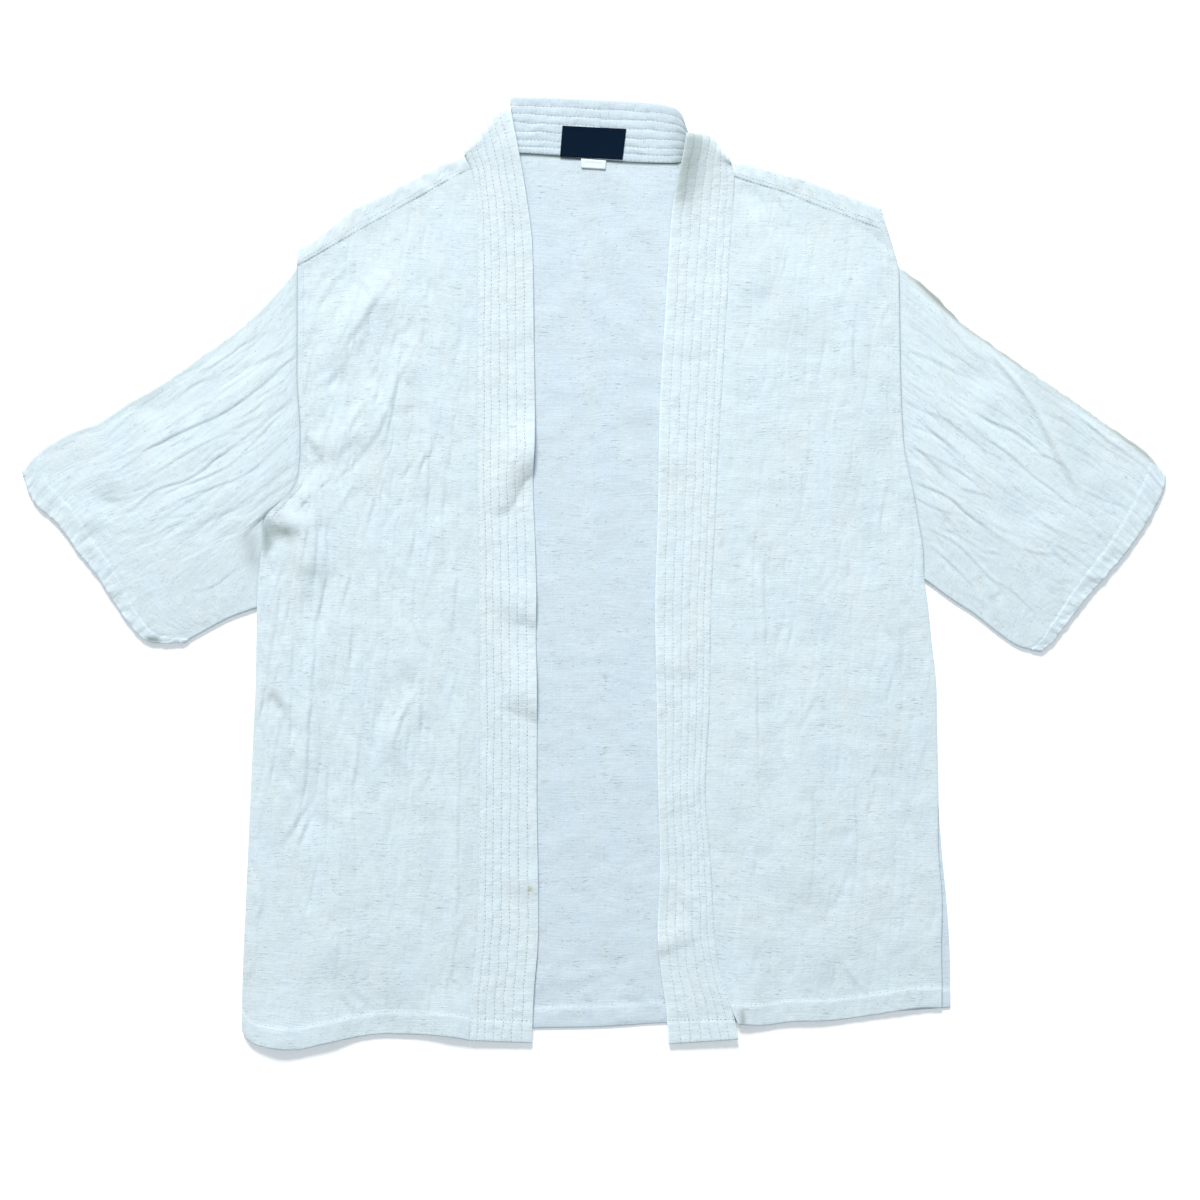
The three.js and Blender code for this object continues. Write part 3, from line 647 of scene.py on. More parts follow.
def creases(x, y, rows, seed, stray=1.3):
    """Creases: a lip, a steep drop to a sharp line, then a slow rise on the side below."""
    total = np.zeros(x.shape)
    wx, wy = wobble(x, y, seed, stray)
    for k, (depth, width, lip, *points) in enumerate(rows):
        at_hand = nearby(wx, wy, points, 9 * width)
        d, at = follow(wx[at_hand], wy[at_hand], points)
        down = -d if uphill_left(points) else d
        steep = bell((-down).clip(0), 0.9 * width)
        slow = np.exp(-((down.clip(0) / (3.0 * width)) ** 1.3))
        groove = -depth * np.where(down < 0, steep, slow)
        rise = 0.6 * lip * bell(down + 2.0 * width, 1.6 * width)
        uneven = 0.8 + 0.5 * noise(4.3 * at, at * 0 + 7.7 * k, seed + 3)
        fade = np.sin(np.pi * np.clip(at, 0.001, 0.999)) ** 0.55
        total[at_hand] += (groove + rise) * fade * uneven
    return total


def folds(x, y, rows):
    """Folds that rise slowly from above and fall to a sharp valley at below mm under the crest."""
    total = np.zeros(x.shape)
    for height, below, above_it, *points in rows:
        at_hand = nearby(x, y, points, 2.5 * max(below, above_it))
        d, _ = follow(x[at_hand], y[at_hand], points)
        up = d if uphill_left(points) else -d
        slope = 1 - np.clip(-up / below, 0, 1) ** 2
        total[at_hand] += height * np.where(up < 0, slope, bell(up, above_it))
    return total


def strewn(box, count, heading, spread, long, deep, seed):
    """Rows of short creases strewn over a box, about along a heading in degrees."""
    draw = np.random.default_rng(seed)
    rows = []
    for _ in range(count):
        x, y = draw.uniform(box[0], box[2]), draw.uniform(box[1], box[3])
        turn = math.radians(draw.normal(heading, spread))
        half, bend, size = 0.5 * draw.uniform(*long), draw.normal(0, 0.12), draw.uniform(*deep)
        dx, dy = math.cos(turn) * half, math.sin(turn) * half
        middle = (x - dy * bend, y + dx * bend)
        ends = ((x - dx, y - dy), (x + dx, y + dy))
        rows.append([size, draw.uniform(0.9, 1.7), 0.8 * size, ends[0], middle, ends[1]])
    return rows


def tinted(x, y, rows, hue=(1, 0.95, 1.02)):
    """How much of the cloth's colour is left under painted shade, soil and stains; negative amounts paint
    highlights.
    """
    tint = np.ones((*x.shape, 3))
    for amount, reach, *points in rows:
        if len(points) == 1:
            points = [points[0], (points[0][0] + 0.1, points[0][1])]
        at_hand = nearby(x, y, points, 3 * reach)
        d, _ = follow(x[at_hand], y[at_hand], points)
        tint[at_hand] *= 1 - bell(d, reach)[:, None] * amount * np.array(hue)
    return tint


def dented(x, y, rows):
    """Round hollows and rises."""
    return sum(height * bell(np.hypot(x - px, y - py), reach) for height, reach, (px, py) in rows)


def lifted(x, from_hem, rows):
    """Waves of a hem that stands off the cloth below it."""
    return bell(from_hem, LIFT_DEPTH) * sum(h * bell(x - at, reach) for at, h, reach in rows)


# ---- shells ----
def nearest(values, wanted):
    return int(np.argmin(abs(values - wanted)))


def tangent(p, axis, ringed):
    """Steps between neighbours along an axis: the mean of the known ones on both sides."""
    if ringed and axis == 0:
        return np.roll(p, -1, 0) - np.roll(p, 1, 0)
    step = np.diff(p, axis=axis)
    pad = [(0, 0)] * 3
    pad[axis] = (0, 1)
    after = np.pad(step, pad, constant_values=np.nan)
    pad[axis] = (1, 0)
    before = np.pad(step, pad, constant_values=np.nan)
    both = np.stack([after, before])
    known = ~np.isnan(both)
    return np.where(known, both, 0).sum(0) / np.maximum(known.sum(0), 1)


def normals(p, ringed=False):
    n = np.cross(tangent(p, 0, ringed), tangent(p, 1, ringed))
    return n / np.maximum(np.linalg.norm(n, axis=-1, keepdims=True), 1e-9)


def shell(name, top, bottom, coordinates, material, ringed=False, tint=None):
    """A closed shell between two grids of points in mm, with its cloth coordinates in mm."""
    nu, nv = top.shape[:2]
    valid = ~np.isnan(top[..., 0])
    number = np.full((nu, nv), -1)
    number[valid] = np.arange(valid.sum())
    count = int(valid.sum())
    ends = (lambda a: np.concatenate([a, a[:1]])) if ringed else (lambda a: a)
    n = ends(number)
    a, b, c, d = n[:-1, :-1], n[1:, :-1], n[1:, 1:], n[:-1, 1:]
    has = (a >= 0) & (b >= 0) & (c >= 0) & (d >= 0)
    faces = [np.stack([a, b, c, d], -1)[has], np.stack([d, c, b, a], -1)[has] + count]
    around = np.pad(has, 1, constant_values=False)
    if ringed:
        around[0, 1:-1], around[-1, 1:-1] = has[-1], has[0]
    sides = [
        (a, b, around[1:-1, :-2]), (b, c, around[2:, 1:-1]),
        (c, d, around[1:-1, 2:]), (d, a, around[:-2, 1:-1]),
    ]
    for s, e, beyond in sides:
        edge = has & ~beyond
        faces.append(np.stack([e, s, s + count, e + count], -1)[edge])
    points = np.vstack([top[valid], bottom[valid]]) * MM
    mesh = bpy.data.meshes.new(name)
    mesh.from_pydata(points.tolist(), [], np.vstack(faces).tolist())
    mesh.polygons.foreach_set("use_smooth", np.ones(len(mesh.polygons), bool))
    mesh.set_sharp_from_angle(angle=SHARP)
    flat = coordinates[valid] * MM
    flat = np.concatenate([flat, np.zeros((len(flat), 1))], 1)
    made = mesh.attributes.new("cloth", "FLOAT_VECTOR", "POINT")
    made.data.foreach_set("vector", np.vstack([flat, flat]).astype(np.float32).ravel())
    shade = np.ones((*top.shape[:2], 3)) if tint is None else tint
    shade = np.concatenate([shade[valid], np.ones((count, 1))], 1)
    made = mesh.attributes.new("tint", "FLOAT_COLOR", "POINT")
    made.data.foreach_set("color", np.vstack([shade, shade]).astype(np.float32).ravel())
    mesh.materials.append(material)
    mesh.update()
    piece = bpy.data.objects.new(name, mesh)
    bpy.context.scene.collection.objects.link(piece)
    return piece


def above(z, least):
    """Heights kept above a least one, with a soft turn."""
    return least + np.logaddexp(0, 4 * (z - least)) / 4


def edge_thin(distance):
    """How thick a wall is near a free edge, as a share of its full thickness."""
    t = np.clip(distance / EDGE_ROUND, 0, 1)
    return 0.3 + 0.7 * np.sqrt(1 - (1 - t) ** 2)


def full(p, z):
    """Points in the plane with their heights."""
    return np.concatenate([p, np.broadcast_to(z, p.shape[:2])[..., None]], -1)


# ---- materials ----
def nodes_of(name):
    material = bpy.data.materials.new(name)
    material.use_nodes = True
    material.node_tree.nodes.clear()
    return material, Tree(material.node_tree)


class Tree:
    """Short calls for making and joining shader nodes."""

    def __init__(self, tree):
        self.tree = tree

    def put(self, kind, inputs=None, **settings):
        node = self.tree.nodes.new("ShaderNode" + kind)
        for key, value in settings.items():
            setattr(node, key, value)
        for key, value in (inputs or {}).items():
            if hasattr(value, "links"):
                self.tree.links.new(value, node.inputs[key])
            else:
                node.inputs[key].default_value = value
        return node

    def math(self, operation, a, b=0.0, c=0.0):
        return self.put("Math", {0: a, 1: b, 2: c}, operation=operation).outputs[0]

    def vector(self, operation, first, others):
        return self.put("VectorMath", {0: first, **others}, operation=operation).outputs[0]

    def scaled(self, vector, x, y):
        return self.vector("MULTIPLY", vector, {1: (x, y, 1)})

    def varied(self, fac, amount, tone):
        """A tone changed by how far fac is from its middle."""
        return self.math("MULTIPLY_ADD", self.math("SUBTRACT", fac, 0.5), amount, tone)

    def noise(self, vector, detail=2.0, rough=0.5):
        inputs = {"Vector": vector, "Scale": 1.0, "Detail": detail, "Roughness": rough}
        return self.put("TexNoise", inputs, noise_dimensions="2D").outputs["Fac"]

    def ramp(self, fac, low, high):
        inputs = {"Value": fac, "From Min": low, "From Max": high}
        return self.put("MapRange", inputs, interpolation_type="SMOOTHSTEP").outputs["Result"]

    def blend(self, fac, a, b):
        made = self.put("Mix", {"Factor": fac, "A": a, "B": b}, data_type="RGBA")
        return made.outputs["Result"]

    def bump(self, height, strength, distance):
        inputs = {"Height": height, "Strength": strength, "Distance": distance}
        return self.put("Bump", inputs).outputs["Normal"]

    def show(self, shader):
        self.put("OutputMaterial", {0: shader.outputs[0]})


def slubs(t, at, laid):
    """Where the yarn is dark: long and short slubs in groups, and single dots."""
    gate = t.ramp(t.noise(t.scaled(at, 46, 60), 1), 0.42, 0.62)
    thick = t.ramp(t.noise(t.scaled(laid, 85, 760), 2, 0.7), 0.63, 0.75)
    thin = t.ramp(t.noise(t.scaled(laid, 190, 1500), 1), 0.67, 0.79)
    cells = t.put(
        "TexVoronoi", {"Vector": t.scaled(at, 115, 250), "Scale": 1.0}, voronoi_dimensions="2D"
    )
    chance = t.put("SeparateXYZ", {0: cells.outputs["Color"]}).outputs[0]
    near = t.ramp(cells.outputs["Distance"], 0.14, 0.04)
    dots = t.math("MULTIPLY", near, t.ramp(chance, 0.80, 1.0))
    either = t.math("MAXIMUM", thick, t.math("MULTIPLY", thin, 0.8))
    return t.math("MAXIMUM", t.math("MULTIPLY", either, gate), dots)


def colour_with_painted_shade(t, at, colour):
    """The cloth's colour times its tint of painted shade and highlights, soil and stains, a little warmer
    or cooler in upright patches.
    """
    warm = t.math("SUBTRACT", t.noise(t.scaled(at, 52, 17), 3, 0.6), 0.5)
    change = t.vector("SCALE", WARMTH, {3: warm})
    cast = t.vector("ADD", change, {1: (1, 1, 1)})
    tint = t.put("Attribute", attribute_name="tint").outputs["Color"]
    return t.vector("MULTIPLY", t.vector("MULTIPLY", tint, {1: colour}), {1: cast})


def woven_height(t, at, weft, warp, spots):
    """Height of the cloth's surface: uneven yarns, their weave, small crinkles and slubs."""
    yarn = t.put("SeparateXYZ", {0: t.scaled(at, YARNS, YARNS)})
    across = t.math("SINE", t.math("MULTIPLY_ADD", warp, 9.0, yarn.outputs[0]))
    along = t.math("SINE", t.math("MULTIPLY_ADD", weft, 9.0, yarn.outputs[1]))
    height = t.math("MULTIPLY_ADD", weft, 0.8, t.math("MULTIPLY", warp, 0.5))
    height = t.math("MULTIPLY_ADD", t.math("MULTIPLY", across, along), 0.08, height)
    crimp = t.noise(t.scaled(at, 190, 130), 4, 0.68)
    height = t.math("MULTIPLY_ADD", crimp, 2.1, height)
    return t.math("MULTIPLY_ADD", spots, 0.4, height)


def cloth_material(name, colour, fleck=0.5, streak=0.08, bump=1.0):
    """Slub gauze: uneven weft streaks, sparse flecks, mottling, fine weave and small crinkles."""
    material, t = nodes_of(name)
    at = t.put("Attribute", attribute_name="cloth").outputs["Vector"]
    drift = t.math("MULTIPLY", t.math("SUBTRACT", t.noise(t.scaled(at, 16, 5), 1), 0.5), 0.012)
    laid = t.vector("ADD", at, {1: t.put("CombineXYZ", {1: drift}).outputs[0]})
    pale = t.ramp(t.noise(t.scaled(laid, 60, 700), 2, 0.6), 0.58, 0.74)
    weft = t.noise(t.scaled(laid, 38, 820), 3, 0.65)
    warp = t.noise(t.scaled(at, 900, 46), 3, 0.65)
    mottle = t.noise(t.scaled(at, 42, 55), 4, 0.62)
    grain = t.noise(t.scaled(at, 620, 760), 2, 0.6)
    tone = t.varied(weft, -2.2 * streak, 1.0)
    tone = t.varied(warp, -1.4 * streak, tone)
    tone = t.varied(mottle, 0.16, tone)
    tone = t.varied(grain, 0.08, tone)
    tone = t.math("MULTIPLY_ADD", pale, 0.04, tone)
    base = t.vector("SCALE", colour_with_painted_shade(t, at, colour), {3: tone})
    spots = t.math("MULTIPLY", slubs(t, at, laid), fleck)
    dark = tuple(c * k for c, k in zip(colour, SLUB_SHADE))
    shader = t.put("BsdfPrincipled", {
        "Base Color": t.blend(spots, base, (*dark, 1)),
        "Roughness": t.math("MULTIPLY_ADD", mottle, 0.1, 0.84),
        "Normal": t.bump(woven_height(t, at, weft, warp, spots), 0.4 * bump, 0.0006),
    })
    shader.inputs["Sheen Weight"].default_value = 0.08
    shader.inputs["Sheen Roughness"].default_value = 0.6
    shader.inputs["Specular IOR Level"].default_value = 0.15
    t.show(shader)
    return material


def plain_cloth(name, colour, pitch, depth, colour_range=0.1, shine=0.08):
    """A close twill for small woven pieces and threads."""
    material, t = nodes_of(name)
    at = t.put("Attribute", attribute_name="cloth").outputs["Vector"]
    yarn = t.put("SeparateXYZ", {0: t.scaled(at, 2 * math.pi / pitch, 2 * math.pi / pitch)})
    twill = t.math("SINE", t.math("ADD", yarn.outputs[0], yarn.outputs[1]))
    uneven = t.noise(t.scaled(at, 300, 1400), 2)
    tone = t.math("MULTIPLY_ADD", uneven, colour_range, 1 - colour_range / 2)
    tone = t.math("MULTIPLY_ADD", twill, colour_range / 2, tone)
    shader = t.put("BsdfPrincipled", {
        "Base Color": t.vector("SCALE", colour, {3: tone}),
        "Roughness": 0.9,
        "Normal": t.bump(t.math("MULTIPLY_ADD", twill, 0.5, uneven), depth, 0.0003),
    })
    shader.inputs["Specular IOR Level"].default_value = shine
    t.show(shader)
    return material


CLOTH_FRONT = cloth_material("cloth_front", (0.562, 0.655, 0.703), fleck=0.78, streak=0.065)
# The back's cloth is a darker, bluer copy of the front's: painted shade on the inside that shows between
# the fronts.
CLOTH_BACK_SHADED = cloth_material("cloth_back_shaded", (0.527, 0.618, 0.684), fleck=0.85, streak=0.075, bump=0.85)
CLOTH_BAND = cloth_material("cloth_band", (0.585, 0.676, 0.722), fleck=0.6)
NAVY = plain_cloth("navy_weave", (0.0036, 0.0105, 0.025), 0.0009, 0.5, 0.3, 0.02)
WHITE_TAPE = plain_cloth("white_tape", (0.66, 0.75, 0.79), 0.0008, 0.3)
# the band's thread is darkened: painted shade standing for shadowed needle holes
SHADED_THREAD = plain_cloth("thread", (0.25, 0.29, 0.31), 0.0006, 0.2)
PALE_THREAD = plain_cloth("pale_thread", (0.52, 0.61, 0.65), 0.0006, 0.2)
THREADS = {
    "back": PALE_THREAD,
    "fronts": PALE_THREAD,
    "sleeves": PALE_THREAD,
    "band_right": SHADED_THREAD,
    "band_left": SHADED_THREAD,
    "label": NAVY,
}


# ---- stitching ----
class Stitches:
    """Threads gathered into one mesh."""

    def __init__(self, name):
        self.name = name
        self.draw = np.random.default_rng(17)
        self.points = []
        self.faces = []

    def run(self, path, up, pitch, stitch, width, height):
        """A row of stitches along path, which stand up from the cloth."""
        far = lengths(path)
        count = int(far[-1] / pitch)
        at = lambda d: np.array([np.interp(d, far, path[:, k]) for k in range(3)])
        rise = lambda d: np.array([np.interp(d, far, up[:, k]) for k in range(3)])
        for k in range(count):
            middle = (k + self.draw.uniform(0.42, 0.58)) * far[-1] / count
            half = 0.5 * stitch * self.draw.uniform(0.75, 1.15)
            size = self.draw.uniform(0.6, 1.15)
            n = rise(middle)
            n = n / np.linalg.norm(n)
            self.pill(at(middle - half), at(middle + half), n, width * size, height * size, size)

    def pill(self, a, b, n, width, height, size):
        """A stitch from a to b: a three-sided thread with narrow ends."""
        t = (b - a) / max(np.linalg.norm(b - a), 1e-6)
        s = np.cross(n, t)
        first = len(self.points)
        end = 0.25 / size
        for share, part in ((0, end), (0.22, 1), (0.78, 1), (1, end)):
            p = a + (b - a) * share - n * 0.1
            w = s * 0.5 * width * part
            self.points += [p - w, p + n * (0.1 + height * part), p + w]
        for q in (first, first + 3, first + 6):
            for i, j in ((0, 1), (1, 2), (2, 0)):
                self.faces.append((q + i, q + j, q + 3 + j, q + 3 + i))
        self.faces += [(first + 2, first + 1, first), (first + 9, first + 10, first + 11)]

    def build(self, material):
        points = np.array(self.points) * MM
        mesh = bpy.data.meshes.new(self.name)
        mesh.from_pydata(points.tolist(), [], self.faces)
        mesh.polygons.foreach_set("use_smooth", np.ones(len(mesh.polygons), bool))
        made = mesh.attributes.new("cloth", "FLOAT_VECTOR", "POINT")
        made.data.foreach_set("vector", points.astype(np.float32).ravel())
        mesh.materials.append(material)
        piece = bpy.data.objects.new(self.name, mesh)
        bpy.context.scene.collection.objects.link(piece)
        return piece


def sample(grid, us, vs, u, v):
    """Points of a grid at shares u and v, by straight lines between its points."""
    i = np.interp(u, us, np.arange(len(us)))
    j = np.interp(v, vs, np.arange(len(vs)))
    i0 = np.clip(i.astype(int), 0, len(us) - 2)
    j0 = np.clip(j.astype(int), 0, len(vs) - 2)
    a, b = (i - i0)[:, None], (j - j0)[:, None]
    low = grid[i0, j0] * (1 - a) + grid[i0 + 1, j0] * a
    high = grid[i0, j0 + 1] * (1 - a) + grid[i0 + 1, j0 + 1] * a
    return low * (1 - b) + high * b


stitches = {name: Stitches("stitching_" + name) for name in THREADS}

right_side = np.array([row[:2] for row in SIDES], float)
left_side = np.array([row[2:] for row in SIDES], float)


# ---- back ----
def shoulder_wrap(fold, seam):
    """The back's bend over a shoulder: the foot of the bend, and its rows on to the seam."""
    roll = np.linspace(0, np.pi, 11)[1:]
    strip = np.linspace(0, 1, 10)[1:]
    out = fold - seam
    out = out / np.linalg.norm(out, axis=1, keepdims=True)
    ragged = mixed(*fold.T, (1.1, 9, 9, 3), (0.7, 3.2, 3.2, 13))
    foot = fold + out * (ragged - SHOULDER_ROLL)[:, None]
    turn = foot[:, None] + out[:, None] * (SHOULDER_ROLL * np.sin(roll))[None, :, None]
    rise = BACK_MID + SHOULDER_ROLL * (1 - np.cos(roll))
    run = foot[:, None] * (1 - strip[None, :, None]) + seam[:, None] * strip[None, :, None]
    far = lengths(seam)[:, None]
    pucker = noise(far / 9, 0.6 * strip[None], 4) + 0.7 * noise(far / 4.2, 0.9 * strip[None], 9)
    puff = (0.25 + 0.85 * pucker) * np.sin(np.pi * strip) ** 0.5
    return foot, np.concatenate([full(turn, rise[None]), full(run, WRAP_MID + puff)], 1)


def back_layers(x, y, v):
    """Heights of the back's two faces, with low waves where it shows between the fronts."""
    between = smoothstep(x, -100, -60) * smoothstep(-x, -100, -60)
    soft = mixed(x, y, (0.5, 46, 20, 5), (0.35, 18, 7, 6)) + 0.5 * creased(x / 60, y / 16, 8, 8)
    waves = (0.55 + 0.9 * smoothstep(-y, 280, 350)) * soft * between
    from_hem = v * BACK_LENGTH
    upper = CLOTH + HEM_RISE * on_hem(from_hem) - 0.25 * on_hem_stitches(from_hem)
    upper = upper + np.clip(waves, -0.3, 1.6) * smoothstep(v, 0, 0.01)
    lower = 0.7 * np.clip(waves - 0.3, 0, 1.6)
    return lower + (upper - lower) * edge_thin(from_hem), lower


def back_flat(feet):
    """The back's flat part up to the feet of its bends, with the shares of its rows."""
    middle = curve(NECKLINE)(np.linspace(0, 1, NECK_COLUMNS + 2)[1:-1])
    top_line = np.vstack([feet[0], middle, feet[1]])
    us = np.linspace(0, 1, len(top_line))
    foot_lines = (0.5, 1.2, HEM_DEPTH - 1, HEM_DEPTH, HEM_DEPTH + 1)
    vs = steps(BACK_LENGTH, BACK_CELL, low=foot_lines, high=(0.6, 1.5, 2.6))
    vented = left_side.copy()
    vented[: len(VENT_BACK_X), 0] = VENT_BACK_X
    west = curve(np.vstack([right_side[:-1], top_line[:1]]))
    east = curve(np.vstack([vented[:-1], top_line[-1:]]))
    north = lambda t: np.stack([np.interp(t, us, top_line[:, k]) for k in (0, 1)], -1)
    return coons(west, east, curve(HEM_BACK), north, us, vs), vs


def sew_back(top, bottom, n, hem_row):
    """The hem's stitches, and two rows beside each shoulder seam."""
    stitches["back"].run(top[:, hem_row], n[:, hem_row], *HEM_STITCH)
    right, left = slice(2, SHOULDER_COLUMNS), slice(-SHOULDER_COLUMNS, -2)
    for part, inner in ((right, slice(2, -5)), (left, slice(5, -2))):
        for row in (-2, -4):
            path, up = bottom[part, row][inner], -n[part, row][inner]
            stitches["back"].run(path, up, *SHOULDER_STITCH)


def make_back():
    """The back, up to the shoulder folds and over them to the forward shoulder seams."""
    even = np.linspace(0, 1, SHOULDER_COLUMNS)
    foot_right, wrap_right = shoulder_wrap(
        curve(SHOULDER_FOLD_RIGHT)(even), curve(SHOULDER_SEAM_RIGHT)(even)
    )
    foot_left, wrap_left = shoulder_wrap(
        curve(SHOULDER_FOLD_LEFT)(even), curve(SHOULDER_SEAM_LEFT)(even)
    )
    flat, vs = back_flat((foot_right, foot_left))
    upper, lower = back_layers(flat[..., 0], flat[..., 1], vs[None])
    extra = np.full((len(flat), *wrap_right.shape[1:]), np.nan)
    extra[:SHOULDER_COLUMNS], extra[-SHOULDER_COLUMNS:] = wrap_right, wrap_left
    mid = np.concatenate([full(flat, (upper + lower) / 2), extra], 1)
    n = normals(mid)
    half = np.full(mid.shape[:2], CLOTH / 2)
    half[:, -1] *= 0.5
    top, bottom = mid + n * half[..., None], mid - n * half[..., None]
    top[:, : len(vs)] = full(flat, upper)
    bottom[:, : len(vs)] = full(flat, lower)
    coordinates = mid[..., :2].copy()
    wrap_y = coordinates[:, len(vs) - 1, 1][:, None] + 2.0 * np.arange(1, extra.shape[1] + 1)
    coordinates[:, len(vs):, 1] = wrap_y
    shade = tinted(mid[..., 0], mid[..., 1], BODY_SHADE_AND_MARKS)
    # The shoulder wraps show the back's outside: no painted shade there.
    shade[:, len(vs):] *= WRAP_UNSHADED
    piece = shell("kimono_back", top, bottom, coordinates, CLOTH_BACK_SHADED, tint=shade)
    sew_back(top, bottom, n, nearest(vs * BACK_LENGTH, HEM_DEPTH))
    return piece


# ---- fronts ----
def band_edge(band, away, first):
    """A front's edge: from its hem corner, then just off the band's own seam edge."""
    sewn = line([row[3:5] for row in band["front"]])[FINE:-FINE] + [away * SEAM, 0]
    return by_length(np.vstack([[first], sewn]))


def front_height(p, u, v, tables, seed, crinkle):
    """Height of a front's middle, at shares u across it and v up it."""
    ridge_rows, crease_rows, dents, lifts = tables
    x, y = p[..., 0], p[..., 1]
    u, v = u[:, None], v[None]
    edges = within(u, 0.1) * smoothstep(1 - v, 0, 0.05)
    pillow = PILLOW * np.sqrt(4 * u * (1 - u)) * within(v, 0.1)
    rise = (WRAP_MID - FRONT_MID) * np.exp(-((1 - v) * FRONT_LENGTH) / 30)
    fine = within(u, 0.03) * smoothstep(v, 0, 0.02) * smoothstep(1 - v, 0, 0.01)
    z = FRONT_MID + rise + pillow + ridges(x, y, ridge_rows) * edges
    z = z + lifted(x, v * FRONT_LENGTH, lifts) + dented(x, y, dents) * edges
    z = z + (creases(x, y, crease_rows, seed) + crinkle(x, y)) * fine
    return above(z, FRONT_FLOOR)


def armhole_relief(inset, from_hem, seed):
    """The edge beside the armhole: turned under, tucked by its stitches, with their groove."""
    turned = 0.2 * smoothstep(6.6 - inset, 0, 1.8) + 0.5 * bell(inset, 3.0)
    tucks = 0.45 * noise(inset / 30, from_hem / 4.5, seed + 31) * bell(inset - 6, 6)
    return turned + tucks - 0.15 * bell(inset - TOPSTITCH_INSET, 0.9)


def hem_pucker(x, from_hem, seed):
    pucker = 0.3 * noise(x / 5, from_hem / 12, seed + 30) * bell(from_hem, 22)
    return pucker + 0.25 * noise(x / 13, from_hem / 30, seed + 32) * bell(from_hem, 40)


def sew_front(top, n, us, vs, inset, side, armhole):
    """The hem's stitches, and a row a little inside the armhole's edge."""
    row = nearest(vs * FRONT_LENGTH, HEM_DEPTH)
    stitches["fronts"].run(top[:, row], n[:, row], *HEM_STITCH)
    from_edge = inset if side < 0 else inset[::-1]
    shares = us if side < 0 else 1 - us[::-1]
    at = [np.interp(TOPSTITCH_INSET, from_edge[:, j], shares) for j in range(len(vs))]
    v = np.linspace(armhole, 0.995, 400)
    u = np.interp(v, vs, at)
    u = u if side < 0 else 1 - u
    path, up = sample(top, us, vs, u, v), sample(n, us, vs, u, v)
    stitches["fronts"].run(path, up, *ARMHOLE_STITCH)


def make_front(name, edges, tables, seed, crinkle, side, armhole):
    """A front panel between its edges; it is topstitched from armhole in v up."""
    us = steps(FRONT_WIDTH, FRONT_CELLS[0], low=RIM_LINES, high=RIM_LINES)
    vs = steps(FRONT_LENGTH, FRONT_CELLS[1], low=(*FOOT_LINES, *HEM_LINES), high=(0.6, 1.5))
    flat = coons(*edges, us, vs)
    x, y = flat[..., 0], flat[..., 1]
    from_hem = vs[None] * FRONT_LENGTH
    inset = np.linalg.norm(flat - (flat[:1] if side < 0 else flat[-1:]), axis=-1)
    sewn = smoothstep(vs[None], armhole - 0.01, armhole + 0.01)
    z = front_height(flat, us, vs, tables, seed, crinkle)
    z = z + sewn * armhole_relief(inset, from_hem, seed) - 0.25 * on_hem_stitches(from_hem)
    mid = full(flat, z)
    n = normals(mid)
    rims = RIMS if side < 0 else RIMS[::-1]
    thin = edge_thin(from_hem) * edge_thin(us[:, None] * FRONT_WIDTH + rims[0])
    thin = thin * edge_thin((1 - us[:, None]) * FRONT_WIDTH + rims[1])
    over = CLOTH / 2 + HEM_RISE * on_hem(from_hem) + hem_pucker(x, from_hem, seed)
    top, bottom = mid + n * (over * thin)[..., None], mid - n * (CLOTH / 2 * thin)[..., None]
    # painted shadow along the armhole seam
    line_shade = ARMHOLE_SHADE[side] * sewn * bell(inset, 0.8)
    shade = tinted(x, y, BODY_SHADE_AND_MARKS) * (1 - line_shade[..., None])
    piece = shell(name, top, bottom, flat, CLOTH_FRONT, tint=shade)
    sew_front(top, n, us, vs, inset, side, armhole)
    return piece


def crinkle_right(x, y):
    """Upright crinkles, closest together on the upper and side parts of the right front."""
    wx, wy = wobble(x, y, 40, 3.0, 40)
    much = 0.6 + 0.7 * smoothstep(y, -330, -60) * smoothstep(-x, 90, 150)
    fine = 0.22 * creased(wx / 10, wy / 70, 41, 7) - 0.45 * creased(wx / 15, wy / 90, 42, 12)
    slant = -0.3 * creased((wx + 0.35 * wy) / 16, wy / 60, 44, 12)
    return much * (fine + slant) + mixed(x, y, (0.4, 26, 34, 43), (0.22, 9, 13, 45))


def crinkle_left(x, y):
    """The left front lies smoother."""
    wx, wy = wobble(x, y, 50, 3.0, 40)
    fine = 0.16 * creased(wx / 11, wy / 80, 51, 7) - 0.34 * creased(wx / 17, wy / 90, 52, 12)
    return fine + mixed(x, y, (0.35, 30, 36, 53), (0.22, 9, 13, 55), (0.12, 30, 6, 54))


